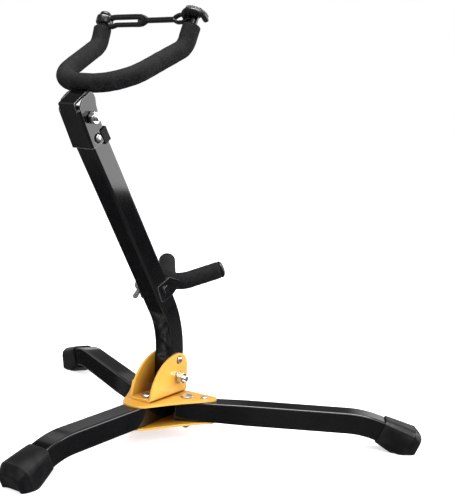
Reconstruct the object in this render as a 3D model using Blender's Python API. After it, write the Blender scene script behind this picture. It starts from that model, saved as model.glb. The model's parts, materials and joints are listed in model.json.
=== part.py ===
"""Folding tripod saxophone stand, modelled in metres with +Z up.

The stand rests on Z = 0.  -Y is the front, where the instrument sits, +Y is the back,
and X = 0 is the plane of symmetry.  "left" is -X and "right" is +X.
"""
import math

import bmesh
import bpy
from mathutils import Matrix, Vector

MM = 0.001
GAP = 0.3 * MM             # clearance between pieces that touch

# Driving dimensions: steel square tube and sheet
TUBE = 20 * MM             # outside width of every square tube
WALL = 1.5 * MM            # wall of the square tube
TUBE_CORNER = 1.9 * MM     # outside corner radius
SHEET = 2.2 * MM           # folded sheet brackets
PLATE = 2.0 * MM           # the two lobed hub plates
CLEAR = 0.6 * MM           # side clearance between a tube and the bracket around it
PLUG = TUBE / 2 - WALL - 2 * GAP        # half width of the plugs that close tube ends

# Hub: every hub place is measured from the upright's vertical axis at (0, HUB_Y)
HUB_Y = -51.83 * MM
LEG_BOTTOM = 16 * MM       # underside of the straight part of each leg
LEG_ANGLE = math.radians(61)            # front legs, measured from the front direction
LEG_PIVOT = Vector((25 * MM, HUB_Y + 1 * MM, 0))
REAR_LEG_START = HUB_Y - 7.5 * MM       # the point that answers to a front leg's pivot
LEG_INNER = 10 * MM        # tube length inside of the pivot
LEG_STRAIGHT = 158 * MM    # pivot to the start of the bend
LEG_BEND_RADIUS = 96 * MM
LEG_BEND = math.radians(24)
LEG_TAIL = 14 * MM         # straight tube after the bend
LEG_LOCK = 17.5 * MM       # pivot to the lock button

# Upright tube
LEAN = math.radians(34.65)
UPRIGHT_FOOT = 46.5 * MM   # lower end of the upright
UPRIGHT_PIVOT_Z = 56 * MM
UPRIGHT_LOCK_Z = 74 * MM
BEND_START_Z = 75 * MM
BEND_RADIUS = 103 * MM
HEAD_DISTANCE = 219.5 * MM     # bend end to the head pivot, along the tube
REST_DISTANCE = 20.5 * MM      # bend end to the lower rest's pivot, along the tube
DENT = 4.2 * MM            # how far the inner face of the bend is pressed in

# Yoke: half of its centre line, mirrored about X = 0
YOKE_TIP = Vector((51.2, 57.3, 398.7)) * MM
YOKE_ELBOW = Vector((49.8, 64.8, 378.4)) * MM
YOKE_CORNER = Vector((37.4, 138.3, 343.0)) * MM
YOKE_CORNER_RADIUS = 37 * MM
YOKE_ELBOW_RADIUS = 17 * MM
ROD = 8 * MM
FOAM = 17 * MM
POST = 11 * MM             # bare rod above the foam at each tip

# Lower rest: half of its centre line
REST_TIP = Vector((33.0, -34.2, 164.7)) * MM
REST_CORNER = Vector((9.0, -4.0, 152.5)) * MM
REST_CORNER_RADIUS = 14 * MM
REST_FOAM = 17 * MM

# Fasteners and spring lock buttons
BOLT = 6 * MM
HOLE = BOLT / 2 + 0.4 * MM
BUTTON = 3.3 * MM          # radius
BUTTON_HOLE = BUTTON + 0.5 * MM
HEAD_LOCK = Vector((0, 2.5, -19.5)) * MM    # in the head frame: +Y back, +Z up the tube
UP = Vector((0, 0, 1))
SIDE = Vector((1, 0, 0))
ALONG_X = Matrix.Rotation(math.radians(90), 4, "Y")

# Outline planes for prism(): a (y, z) outline pushed along x, and an (x, z) outline pushed along y
SIDE_PROFILE = Matrix(((0, 0, 1, 0), (1, 0, 0, 0), (0, 1, 0, 0), (0, 0, 0, 1)))
ON_EDGE = Matrix(((1, 0, 0, 0), (0, 0, -1, 0), (0, 1, 0, 0), (0, 0, 0, 1)))


# ---------------------------------------------------------------- scene helpers

def clear_scene():
    for obj in list(bpy.data.objects):
        bpy.data.objects.remove(obj, do_unlink=True)


def make_material(name, colour, roughness, metallic=0.0):
    material = bpy.data.materials.new(name)
    material.use_nodes = True
    shader = material.node_tree.nodes["Principled BSDF"]
    shader.inputs["Base Color"].default_value = (*colour, 1)
    shader.inputs["Roughness"].default_value = roughness
    shader.inputs["Metallic"].default_value = metallic
    material.diffuse_color = (*colour, 1)
    return material


def pivot_empty(name, place, parent=None):
    """An empty on a joint's axis; the pieces that move with the joint hang from it."""
    empty = bpy.data.objects.new(name, None)
    bpy.context.collection.objects.link(empty)
    empty.empty_display_size = 0.01
    base = parent["place"] if parent else (0, 0, 0)
    empty.parent = parent
    empty.location = Vector(place) - Vector(base)
    empty["place"] = tuple(place)
    return empty


def add_piece(name, mesh_data, material, parent=None):
    """Turn a bmesh in world coordinates into a named object under its joint's empty."""
    mesh = bpy.data.meshes.new(name)
    bmesh.ops.recalc_face_normals(mesh_data, faces=mesh_data.faces)
    mesh_data.to_mesh(mesh)
    mesh_data.free()
    if parent:
        mesh.transform(Matrix.Translation(-Vector(parent["place"])))
    mesh.shade_smooth()
    mesh.set_sharp_from_angle(angle=math.radians(35))
    mesh.materials.append(material)
    obj = bpy.data.objects.new(name, mesh)
    bpy.context.collection.objects.link(obj)
    obj.parent = parent
    return obj


def boolean(obj, mesh_data, operation="DIFFERENCE"):
    """Cut obj with a solid; the cutter stays in the scene as a hidden wire guide."""
    cutter = add_piece(obj.name + "_cutter", mesh_data, obj.data.materials[0])
    cutter.hide_render = True
    cutter.display_type = "WIRE"
    modifier = obj.modifiers.new(operation.lower(), "BOOLEAN")
    modifier.operation = operation
    modifier.solver = "EXACT"
    modifier.object = cutter


# ---------------------------------------------------------------- shape helpers

def skin(rings, closed=False):
    """Skin a list of equal rings of points; the two ends are capped unless closed."""
    bm = bmesh.new()
    loops = [[bm.verts.new(point) for point in ring] for ring in rings]
    count = len(loops[0])
    pairs = list(zip(loops, loops[1:]))
    if closed:
        pairs.append((loops[-1], loops[0]))
    for lower, upper in pairs:
        for i in range(count):
            j = (i + 1) % count
            bm.faces.new((lower[i], lower[j], upper[j], upper[i]))
    if not closed:
        bm.faces.new(loops[0])
        bm.faces.new(loops[-1])
    return bm


def prism(outline, low, high, matrix=Matrix.Identity(4)):
    """Extrude a flat outline of (x, y) points from z = low to z = high."""
    return skin([[matrix @ Vector((x, y, z)) for x, y in outline] for z in (low, high)])


def block(low, high, matrix=Matrix.Identity(4)):
    """A box between two corners."""
    outline = [(low[0], low[1]), (high[0], low[1]), (high[0], high[1]), (low[0], high[1])]
    return prism(outline, low[2], high[2], matrix)


def turned(profile, matrix=Matrix.Identity(4), sides=12):
    """Turn a profile of (radius, z) points about the matrix's Z axis, ends capped."""
    rings = []
    for radius, z in profile:
        turns = [2 * math.pi * i / sides for i in range(sides)]
        rings.append([matrix @ Vector((radius * math.cos(a), radius * math.sin(a), z))
                      for a in turns])
    return skin(rings)


def ring_solid(outer, inner, low, high, matrix=Matrix.Identity(4), sides=16):
    """A turned ring with a hole through it."""
    rings = []
    for radius, z in ((outer, low), (outer, high), (inner, high), (inner, low)):
        turns = [2 * math.pi * i / sides for i in range(sides)]
        rings.append([matrix @ Vector((radius * math.cos(a), radius * math.sin(a), z))
                      for a in turns])
    return skin(rings, closed=True)


def arc(centre, radius, start, end, steps):
    """Points on an arc, with angles in degrees."""
    angles = [math.radians(start + (end - start) * i / steps) for i in range(steps + 1)]
    return [(centre[0] + radius * math.cos(a), centre[1] + radius * math.sin(a)) for a in angles]


def fillet_path(corners, radii, steps=6):
    """A smooth 3-D centre line through straight runs, with an arc at each inner corner."""
    path = [corners[0].copy()]
    for before, corner, after, radius in zip(corners, corners[1:], corners[2:], radii):
        back = (before - corner).normalized()
        ahead = (after - corner).normalized()
        angle = back.angle(ahead)
        reach = radius / math.tan(angle / 2)
        limit = 0.49 * min((before - corner).length, (after - corner).length)
        if reach > limit:
            reach = limit
        true_radius = reach * math.tan(angle / 2)
        centre = corner + (back + ahead).normalized() * true_radius / math.sin(angle / 2)
        first = corner + back * reach - centre
        last = corner + ahead * reach - centre
        turn = math.pi - angle
        for i in range(steps + 1):
            t = i / steps
            point = (math.sin((1 - t) * turn) * first + math.sin(t * turn) * last) / math.sin(turn)
            path.append(centre + point)
    path.append(corners[-1].copy())
    return path


def path_rings(path, section, start_side):
    """Carry a section along a path; section(i) gives (side, up) offsets at point i."""
    rings = []
    side = start_side.normalized()
    for i, point in enumerate(path):
        before = path[max(i - 1, 0)]
        after = path[min(i + 1, len(path) - 1)]
        forward = (after - before).normalized()
        side = (side - forward * side.dot(forward)).normalized()
        up = forward.cross(side)
        rings.append([point + side * a + up * b for a, b in section(i)])
    return rings


def round_section(radius, sides):
    turns = [2 * math.pi * i / sides for i in range(sides)]
    return [(radius * math.cos(a), radius * math.sin(a)) for a in turns]


def square_section(width, corner, steps=2):
    """A square with round corners, counter-clockwise."""
    reach = width / 2 - corner
    points = []
    for x, y, start in ((1, 1, 0), (-1, 1, 90), (-1, -1, 180), (1, -1, 270)):
        points += arc((x * reach, y * reach), corner, start, start + 90, steps)
    return points


def rod(path, diameter, sides, start_side=Vector((0, 0, 1))):
    return skin(path_rings(path, lambda i: round_section(diameter / 2, sides), start_side))


def sleeve(path, outer, inner, sides, start_side=Vector((0, 0, 1))):
    """A hollow round tube along a path, open at both ends."""
    outside = path_rings(path, lambda i: round_section(outer / 2, sides), start_side)
    inside = path_rings(path, lambda i: round_section(inner / 2, sides), start_side)
    return skin(outside + inside[::-1], closed=True)


def square_tube(path, start_side, dent=None):
    """A square tube open at both ends; dent(i) presses the section's +side face in."""
    def outside(i):
        depth = dent(i) if dent else 0
        middle = [(TUBE / 2 - depth, y * TUBE) for y in (-0.2, 0, 0.2)] if dent else []
        points = square_section(TUBE, TUBE_CORNER)
        edge = [(x - 0.45 * depth if x > 0 else x, y) for x, y in points]
        return middle + edge

    def inside(i):
        depth = dent(i) if dent else 0
        half = TUBE / 2 - WALL
        middle = [(half - depth, y * TUBE) for y in (-0.2, 0, 0.2)] if dent else []
        points = square_section(2 * half, TUBE_CORNER - WALL)
        edge = [(x - 0.45 * depth if x > 0 else x, y) for x, y in points]
        return middle + edge

    outer = path_rings(path, outside, start_side)
    inner = path_rings(path, inside, start_side)
    return skin(outer + inner[::-1], closed=True)


def mirror_path(points):
    """The half path from the left tip, completed over to the right tip."""
    left = [Vector((-p.x, p.y, p.z)) for p in points]
    return left + [p.copy() for p in reversed(points)]


def axis_matrix(place, direction):
    """Z along direction, at place."""
    return Matrix.Translation(place) @ direction.to_track_quat("Z", "Y").to_matrix().to_4x4()


# ---------------------------------------------------------------- fasteners

def pan_bolt(reach, head=5.5 * MM, thickness=3 * MM, shank=BOLT / 2, sides=12):
    """Profile of a domed screw: its head stands above z = 0, its shank runs down to -reach."""
    return [(shank, -reach), (shank, 0), (head, 0), (head, 0.45 * thickness),
            (0.72 * head, 0.85 * thickness), (0.3 * head, thickness)]


def hex_nut(matrix, width=10 * MM, height=5 * MM, hole=BOLT / 2 + GAP):
    """A hexagonal nut standing on z = 0, with a round bore."""
    rings = []
    for z, bored in ((0, False), (height, False), (height, True), (0, True)):
        ring = []
        for i in range(12):
            turn = math.pi * i / 6
            radius = hole if bored else width / 2 / (math.cos(math.pi / 6) if i % 2 == 0 else 1)
            ring.append(matrix @ Vector((radius * math.cos(turn), radius * math.sin(turn), z)))
        rings.append(ring)
    return skin(rings, closed=True)


# ---------------------------------------------------------------- places that follow

HUB = Vector((0, HUB_Y, 0))
LEG_TOP = LEG_BOTTOM + TUBE
TOP_PLATE_LOW = LEG_TOP + GAP
TOP_PLATE_HIGH = TOP_PLATE_LOW + PLATE
BOTTOM_PLATE_HIGH = LEG_BOTTOM - GAP
BOTTOM_PLATE_LOW = BOTTOM_PLATE_HIGH - PLATE
TOWER_LOW = TOP_PLATE_HIGH + GAP
TOWER_FLOOR = TOWER_LOW + SHEET
EAR_INNER = TUBE / 2 + CLEAR
EAR_OUTER = EAR_INNER + SHEET

UPRIGHT_PIVOT = HUB + UP * UPRIGHT_PIVOT_Z
TUBE_UP = Vector((0, math.sin(LEAN), math.cos(LEAN)))
TUBE_BACK = Vector((0, math.cos(LEAN), -math.sin(LEAN)))
BEND_CENTRE = HUB + Vector((0, BEND_RADIUS, BEND_START_Z))
BEND_END = BEND_CENTRE - BEND_RADIUS * TUBE_BACK
HEAD_PIVOT = BEND_END + TUBE_UP * HEAD_DISTANCE
REST_PIVOT = BEND_END + TUBE_UP * REST_DISTANCE
LEANING = Matrix.Rotation(-LEAN, 4, "X")
HEAD_FRAME = Matrix.Translation(HEAD_PIVOT) @ LEANING      # local +Z up the tube, +Y back
REST_FRAME = Matrix.Translation(REST_PIVOT) @ LEANING

YOKE_SHIFT = Vector((0, HUB_Y, 0))


def yoke_centre_line(steps):
    opposite = Vector((-YOKE_CORNER.x, *YOKE_CORNER.yz))
    half = fillet_path([YOKE_TIP, YOKE_ELBOW, YOKE_CORNER, opposite],
                       [YOKE_ELBOW_RADIUS, YOKE_CORNER_RADIUS], steps)[:-1]
    return [p + YOKE_SHIFT for p in mirror_path(half)]


def rest_centre_line(steps):
    half = fillet_path([REST_TIP, REST_CORNER, Vector((-REST_CORNER.x, *REST_CORNER.yz))],
                       [REST_CORNER_RADIUS], steps)[:-1]
    return [p + YOKE_SHIFT for p in mirror_path(half)]


def leg_frame(side):
    """Leg frame: +X runs out along the leg. side is -1 left, 1 right, 0 rear."""
    if side == 0:
        return Matrix.Translation((0, REAR_LEG_START, 0)) @ Matrix.Rotation(math.pi / 2, 4, "Z")
    heading = math.atan2(-math.cos(LEG_ANGLE), side * math.sin(LEG_ANGLE))
    place = Vector((side * LEG_PIVOT.x, LEG_PIVOT.y, 0))
    return Matrix.Translation(place) @ Matrix.Rotation(heading, 4, "Z")


def leg_path(steps=6):
    """Centre line of a leg in its own frame, and the direction of its tail."""
    middle = LEG_BOTTOM + TUBE / 2
    path = [Vector((-LEG_INNER, 0, middle)), Vector((LEG_STRAIGHT / 2, 0, middle))]
    for i in range(steps + 1):
        a = LEG_BEND * i / steps
        path.append(Vector((LEG_STRAIGHT + LEG_BEND_RADIUS * math.sin(a), 0,
                            middle - LEG_BEND_RADIUS * (1 - math.cos(a)))))
    tail = Vector((math.cos(LEG_BEND), 0, -math.sin(LEG_BEND)))
    path.append(path[-1] + tail * LEG_TAIL)
    return path, tail


# ---------------------------------------------------------------- drilling and joining

def drill(obj, holes):
    """Cut round holes; each is (place, direction, radius, half length)."""
    cutter = bmesh.new()
    for place, direction, radius, half in holes:
        hole = turned([(radius, -half), (radius, half)], axis_matrix(place, direction))
        loose = bpy.data.meshes.new("hole")
        hole.to_mesh(loose)
        hole.free()
        cutter.from_mesh(loose)
        bpy.data.meshes.remove(loose)
    boolean(obj, cutter)


# ---------------------------------------------------------------- hub

REAR_BOLT_Y = HUB_Y + 34 * MM
FRONT_BOLT_Y = HUB_Y - 8 * MM


def lobed_outline():
    """The hub plate: three round lobes joined by slightly hollow sides."""
    rear, rear_radius = Vector((0, 43.5 * MM)), 17.5 * MM
    front, front_radius = Vector((44 * MM, -10.5 * MM)), 8 * MM
    hollow = 2 * MM

    def side(start, end):
        """Points between two lobes on a shallow hollow curve."""
        run = end - start
        inward = Vector((-run.y, run.x)).normalized() * hollow
        return [start + run * t + inward * math.sin(math.pi * t) for t in (0.25, 0.5, 0.75)]

    lobes = [
        [Vector(p) for p in arc(rear, rear_radius, 27, 153, 8)],
        [Vector(p) for p in arc((-front.x, front.y), front_radius, 153, 268, 5)],
        [Vector(p) for p in arc(front, front_radius, -88, 27, 5)],
    ]
    outline = []
    for lobe, following in zip(lobes, lobes[1:] + lobes[:1]):
        outline += lobe + side(lobe[-1], following[0])
    return [(p.x, p.y + HUB_Y) for p in outline]


def leg_spot(side, distance, z=0.0):
    """A place along a leg's centre line, in world coordinates."""
    return leg_frame(side) @ Vector((distance, 0, z))


def build_plate(name, low, lock_holes, material):
    plate = add_piece(name, prism(lobed_outline(), low, low + PLATE), material)
    holes = [(leg_spot(side, 0, low), UP, HOLE, 5 * MM) for side in (-1, 1)]
    holes += [(Vector((0, y, low)), UP, HOLE, 5 * MM) for y in (REAR_BOLT_Y, FRONT_BOLT_Y)]
    if lock_holes:
        holes += [(leg_spot(side, LEG_LOCK, low), UP, BUTTON_HOLE, 5 * MM) for side in (-1, 1)]
    drill(plate, holes)


def build_tower(material):
    """A folded channel whose two ears are quadrants with a round front shoulder."""
    front, rear, top = -15 * MM, 44.5 * MM, 80.5 * MM
    big, small = 44 * MM, 15 * MM
    crown = rear - big
    low_angle = math.degrees(math.asin((TOWER_LOW - (top - big)) / big))
    outline = arc((crown, top - big), big, low_angle, 90, 10)
    outline += arc((crown, top - small), small, 90, 180, 5)
    outline += [(front, TOWER_LOW)]
    turn = Matrix.Translation((0, HUB_Y, 0)) @ SIDE_PROFILE
    tower = add_piece("tower_bracket", prism(outline, -EAR_OUTER, EAR_OUTER, turn), material)
    channel = block((-EAR_INNER, HUB_Y - 30 * MM, TOWER_FLOOR), (EAR_INNER, HUB_Y + 60 * MM, 0.1))
    boolean(tower, channel)
    drill(tower, [
        (UPRIGHT_PIVOT, SIDE, HOLE, 20 * MM),
        (HUB + UP * UPRIGHT_LOCK_Z, SIDE, BUTTON_HOLE, 20 * MM),
        (Vector((0, REAR_BOLT_Y, TOWER_LOW)), UP, HOLE, 4 * MM),
    ])
    countersink = turned([(HOLE, -6 * MM), (HOLE, -1.4 * MM), (5.6 * MM, 0.8 * MM)],
                         Matrix.Translation((0, FRONT_BOLT_Y, TOWER_FLOOR)))
    boolean(tower, countersink)


def build_hub_fasteners(material):
    nut_low = BOTTOM_PLATE_LOW - GAP - 5 * MM
    for side, name in ((-1, "left"), (1, "right")):
        spot = leg_spot(side, 0)
        place = Matrix.Translation(spot + UP * (TOP_PLATE_HIGH + GAP))
        reach = TOP_PLATE_HIGH - nut_low + 2 * MM
        head = [(BOLT / 2, -reach), (BOLT / 2, 0), (6.2 * MM, 0), (6.2 * MM, 0.9 * MM), (5 * MM, 1.5 * MM)]
        add_piece(name + "_leg_pivot_bolt", turned(head, place, 14), material)
        nut = hex_nut(Matrix.Translation(spot + UP * nut_low))
        add_piece(name + "_leg_pivot_nut", nut, material)
    reach = TOWER_FLOOR - nut_low + 2 * MM
    place = Matrix.Translation((0, REAR_BOLT_Y, TOWER_FLOOR + GAP))
    add_piece("tower_rear_bolt", turned(pan_bolt(reach), place), material)
    flush = [(BOLT / 2, -reach), (BOLT / 2, -1.2 * MM), (4.4 * MM, 0.2 * MM)]
    place = Matrix.Translation((0, FRONT_BOLT_Y, TOWER_FLOOR - 0.3 * MM))
    add_piece("tower_front_bolt", turned(flush, place), material)
    for name, y in (("tower_rear_nut", REAR_BOLT_Y), ("tower_front_nut", FRONT_BOLT_Y)):
        add_piece(name, hex_nut(Matrix.Translation((0, y, nut_low))), material)


def build_upright_pivot(material):
    """Head on the right ear; washer, nut and a short free end of thread on the left ear."""
    washer = 1 * MM
    nut = 5 * MM
    head = Matrix.Translation(UPRIGHT_PIVOT + SIDE * (EAR_OUTER + GAP)) @ ALONG_X
    reach = 2 * EAR_OUTER + 3 * GAP + washer + nut + 4 * MM
    add_piece("upright_pivot_bolt", turned(pan_bolt(reach), head), material)
    left = Matrix.Translation(UPRIGHT_PIVOT - SIDE * (EAR_OUTER + GAP)) @ ALONG_X.inverted()
    add_piece("upright_pivot_washer", ring_solid(6 * MM, HOLE, 0, washer, left, 14), material)
    outer = left @ Matrix.Translation((0, 0, washer + GAP))
    add_piece("upright_pivot_nut", hex_nut(outer), material)


# ---------------------------------------------------------------- legs

FOOT_BACK = 6 * MM         # the cap reaches this far inward of the tail's start
FOOT_REACH = 39.5 * MM


def foot_rings(matrix):
    """Square rings along a foot's own axis; the cap widens towards the ground end."""
    rings = []
    for z, width in ((0, 24 * MM), (FOOT_REACH - 9 * MM, 31 * MM), (FOOT_REACH, 25 * MM)):
        section = square_section(width, 6 * MM)
        rings.append([matrix @ Vector((x, y, z)) for x, y in section])
    return rings


def build_leg(side, name, materials, parent=None):
    frame = leg_frame(side)
    path, tail = leg_path()
    world_path = [frame @ p for p in path]
    leg = add_piece(name + "_leg", square_tube(world_path, -UP), materials["black"], parent)
    if side:
        drill(leg, [(leg_spot(side, 0, LEG_BOTTOM), UP, HOLE, 30 * MM),
                    (leg_spot(side, LEG_LOCK, LEG_TOP), UP, BUTTON_HOLE, 6 * MM)])
    else:
        places = [Vector((0, y, LEG_BOTTOM)) for y in (REAR_BOLT_Y, FRONT_BOLT_Y)]
        drill(leg, [(place, UP, HOLE, 30 * MM) for place in places])

    middle = LEG_BOTTOM + TUBE / 2
    low = (-LEG_INNER + 0.5 * MM, -PLUG, middle - PLUG)
    plug = block(low, (-LEG_INNER + 5.5 * MM, PLUG, middle + PLUG), frame)
    add_piece(name + "_leg_plug", plug, materials["plastic"], parent)
    build_foot(name, frame, path[-1], tail, materials["rubber"], parent)


def build_foot(name, frame, tube_end, tail, material, parent):
    """A rubber cap on the leg's tail, cut flat where it stands on the ground."""
    axis = (frame.to_3x3() @ tail).normalized()
    across = frame.to_3x3() @ Vector((0, 1, 0))
    up = axis.cross(across)
    start = frame @ (tube_end - tail * (LEG_TAIL + FOOT_BACK))
    turn = Matrix((across, up, axis)).transposed().to_4x4()
    place = Matrix.Translation(start) @ turn
    foot = add_piece(name + "_foot", skin(foot_rings(place)), material, parent)
    path, _ = leg_path()
    sweep = [frame @ p for p in path]
    extra = (sweep[-1] - sweep[-2]).normalized() * GAP
    sweep[-1] += extra
    width = TUBE + 2 * GAP
    socket = skin(path_rings(sweep, lambda i: square_section(width, TUBE_CORNER + GAP), -UP))
    boolean(foot, socket)
    ground = block((-0.4, -0.4, -0.05), (0.4, 0.4, 0))
    boolean(foot, ground)


def build_leg_lock(side, name, materials, leg_joint, button_joint):
    """A spring leaf inside the leg carries the button that comes up through the top plate."""
    frame = leg_frame(side)
    top = LEG_TOP - WALL
    flange_low = top - GAP - 1.6 * MM
    spot = frame @ Matrix.Translation((LEG_LOCK, 0, 0))
    profile = [(5 * MM, flange_low), (5 * MM, top - GAP), (BUTTON, top - GAP),
               (BUTTON, TOP_PLATE_HIGH + 0.6 * MM), (0.75 * BUTTON, TOP_PLATE_HIGH + 1.5 * MM),
               (0.3 * BUTTON, TOP_PLATE_HIGH + 1.9 * MM)]
    add_piece(name + "_leg_lock_button", turned(profile, spot), materials["steel"], button_joint)
    low = LEG_BOTTOM + WALL + GAP
    high = flange_low - GAP
    thick = 0.8 * MM
    start, end = LEG_LOCK - 5 * MM, LEG_LOCK + 20 * MM
    outline = [(start, high), (start, high - thick), (end - 3 * MM, low + thick),
               (start + 6 * MM, low + thick), (start + 6 * MM, low), (end, low), (end, low + thick)]
    spring = prism(outline, -3.5 * MM, 3.5 * MM, frame @ ON_EDGE)
    add_piece(name + "_leg_lock_spring", spring, materials["steel"], leg_joint)


# ---------------------------------------------------------------- upright

def upright_path(steps=8):
    path = [HUB + UP * UPRIGHT_FOOT]
    for i in range(steps + 1):
        a = LEAN * i / steps
        path.append(BEND_CENTRE - BEND_RADIUS * Vector((0, math.cos(a), -math.sin(a))))
    path.append(HEAD_PIVOT - TUBE_UP * 60 * MM)
    path.append(HEAD_PIVOT + TUBE_UP * 10 * MM)
    return path


def build_upright(materials, parent):
    path = upright_path()
    bend_points = len(path) - 3

    def dent(i):
        if not 0 < i < bend_points + 1:
            return 0
        t = (i - 1) / (bend_points - 1)
        return DENT * math.sin(math.pi * min(max(t, 0), 1)) ** 1.5

    shell = square_tube(path, Vector((0, 1, 0)), dent)
    tube = add_piece("upright_tube", shell, materials["black"], parent)
    inner = 9.9 * MM
    outer = 14 * MM
    crown = [(-inner, 0), *arc((0, 0), inner, 180, 0, 10)[1:-1], (inner, 0), (outer, 0),
             (outer, outer), (-outer, outer), (-outer, 0)]
    turn = HEAD_FRAME @ SIDE_PROFILE
    boolean(tube, prism(crown, -20 * MM, 20 * MM, turn))
    drill(tube, [
        (UPRIGHT_PIVOT, SIDE, HOLE, 20 * MM),
        (HUB + UP * UPRIGHT_LOCK_Z, SIDE, BUTTON_HOLE, 20 * MM),
        (REST_PIVOT, SIDE, HOLE, 20 * MM),
        (HEAD_PIVOT, SIDE, HOLE, 20 * MM),
        (HEAD_FRAME @ HEAD_LOCK, SIDE, BUTTON_HOLE, 20 * MM),
    ])
    low = (-PLUG, HUB_Y - PLUG, UPRIGHT_FOOT + 0.5 * MM)
    bottom = block(low, (PLUG, HUB_Y + PLUG, UPRIGHT_FOOT + 5 * MM))
    add_piece("upright_bottom_plug", bottom, materials["plastic"], parent)
    rise = math.degrees(math.acos(PLUG / (9.5 * MM)))
    cap = [(PLUG, 4.2 * MM), *arc((0, 0), 9.5 * MM, rise, 180 - rise, 8), (-PLUG, 4.2 * MM)]
    add_piece("upright_top_plug", prism(cap, -PLUG, PLUG, turn), materials["plastic"], parent)


def build_side_lock(prefix, frame, place, reach, materials, tube_joint, button_joints):
    """A bent leaf spring inside the tube pushes two buttons out through its sides."""
    inside = TUBE / 2 - WALL - GAP
    thick = 0.8 * MM
    leaf = inside - 1.3 * MM
    low = -6.5 * MM
    inner = leaf - thick
    outline = [(leaf, 4 * MM), (leaf, low), *arc((0, low), leaf, 0, -180, 8)[1:-1],
               (-leaf, low), (-leaf, 4 * MM), (-inner, 4 * MM), (-inner, low),
               *arc((0, low), inner, -180, 0, 8)[1:-1], (inner, low), (inner, 4 * MM)]
    spring = prism(outline, -4 * MM, 4 * MM, frame @ Matrix.Translation(place) @ ON_EDGE)
    add_piece(prefix + "_lock_spring", spring, materials["steel"], tube_joint)
    for side, name in ((-1, "left"), (1, "right")):
        turn = frame @ Matrix.Translation(place) @ Matrix.Rotation(math.radians(90 * side), 4, "Y")
        profile = [(4.6 * MM, inside - 1 * MM), (4.6 * MM, inside), (BUTTON, inside),
                   (BUTTON, reach - 1.6 * MM), (0.75 * BUTTON, reach - 0.5 * MM), (0.3 * BUTTON, reach)]
        button = turned(profile, turn)
        add_piece(f"{prefix}_lock_button_{name}", button, materials["steel"], button_joints[name])


# ---------------------------------------------------------------- head and yoke

HEAD_WALL = TUBE / 2 + CLEAR
FLANGE_TOP = 19.8 * MM
FLANGE_LOW = FLANGE_TOP - SHEET
FLANGE_HALF = 9 * MM
FLANGE_FRONT = -16.1 * MM
WALL_FOOT = Vector((15.2, -23)) * MM        # the back wall's outer face leans forward, from here
WALL_TOP = Vector((10.6, 17.6)) * MM        # to here; (back, up) in the head frame


def wall_point(height, depth=0.0):
    """A point on the back wall's outer face at a height, or inside of it by depth."""
    t = (height - WALL_FOOT.y) / (WALL_TOP.y - WALL_FOOT.y)
    return (WALL_FOOT.x + (WALL_TOP.x - WALL_FOOT.x) * t - depth, height)


def build_head_bracket(material, parent):
    """Channel over the tube's end: back wall, cheeks that reach forward, and a narrow flange."""
    outer = HEAD_WALL + SHEET
    side = HEAD_FRAME @ SIDE_PROFILE
    outline = [wall_point(-23 * MM), wall_point(17.2 * MM), (9.4 * MM, 19.3 * MM), (8 * MM, FLANGE_TOP),
               (FLANGE_FRONT, FLANGE_TOP), (FLANGE_FRONT, FLANGE_LOW)]
    outline += [(x * MM, y * MM) for x, y in (
        (-13, 15), (-13.2, 12.9), (-10.4, 6), (-9.2, -1.6), (-7.6, -14.3), (-2.2, -14.3), (-2.2, -26.6),
        (11.4, -24.7))]
    bracket = add_piece("head_bracket", prism(outline, -outer, outer, side), material, parent)
    hollow = [wall_point(-40 * MM, SHEET), wall_point(15.8 * MM, SHEET), (7.2 * MM, FLANGE_LOW),
              (-30 * MM, FLANGE_LOW), (-30 * MM, -40 * MM)]
    boolean(bracket, prism(hollow, -HEAD_WALL, HEAD_WALL, side))
    above = [(x * MM, y * MM) for x, y in (
        (20, 11), (9, 13), (4.5, 17), (0, 19), (-8.6, 19.4), (-11, 18.4), (-12.7, 16), (-20, 15.5),
        (-20, 25), (20, 25))]
    slot = [(x * MM, y * MM) for x, y in ((20, 12.5), (20, 26), (-21, 26), (-21, 12.5))]
    for sign in (-1, 1):
        low, high = sorted((sign * (HEAD_WALL - 0.5 * MM), sign * 14 * MM))
        boolean(bracket, prism(above, low, high, side))
        low, high = sorted((sign * FLANGE_HALF, sign * HEAD_WALL))
        boolean(bracket, prism(slot, low, high, side))
    drill(bracket, [
        (HEAD_PIVOT, SIDE, HOLE, 20 * MM),
        (HEAD_FRAME @ HEAD_LOCK, SIDE, BUTTON_HOLE, 20 * MM),
    ])


def build_stop_block(material, parent):
    """A moulded stop that wraps the tube's front below the head bracket's cheeks."""
    inner, outer = TUBE / 2 + GAP, HEAD_WALL + SHEET - 0.2 * MM
    front = -TUBE / 2 - 1.3 * MM
    outline = [(-outer, -3 * MM), (-outer, front), (outer, front), (outer, -3 * MM),
               (inner, -3 * MM), (inner, -inner), (-inner, -inner), (-inner, -3 * MM)]
    add_piece("head_stop_block", prism(outline, -30 * MM, -16.2 * MM, HEAD_FRAME), material, parent)


def build_head_pivot(material, parent):
    outer = HEAD_WALL + SHEET + GAP
    head = Matrix.Translation(HEAD_PIVOT + SIDE * outer) @ ALONG_X
    reach = 2 * outer + 5 * MM + 3.5 * MM
    add_piece("head_pivot_bolt", turned(pan_bolt(reach), head), material, parent)
    left = Matrix.Translation(HEAD_PIVOT - SIDE * outer) @ ALONG_X.inverted()
    add_piece("head_pivot_nut", hex_nut(left), material, parent)


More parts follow.
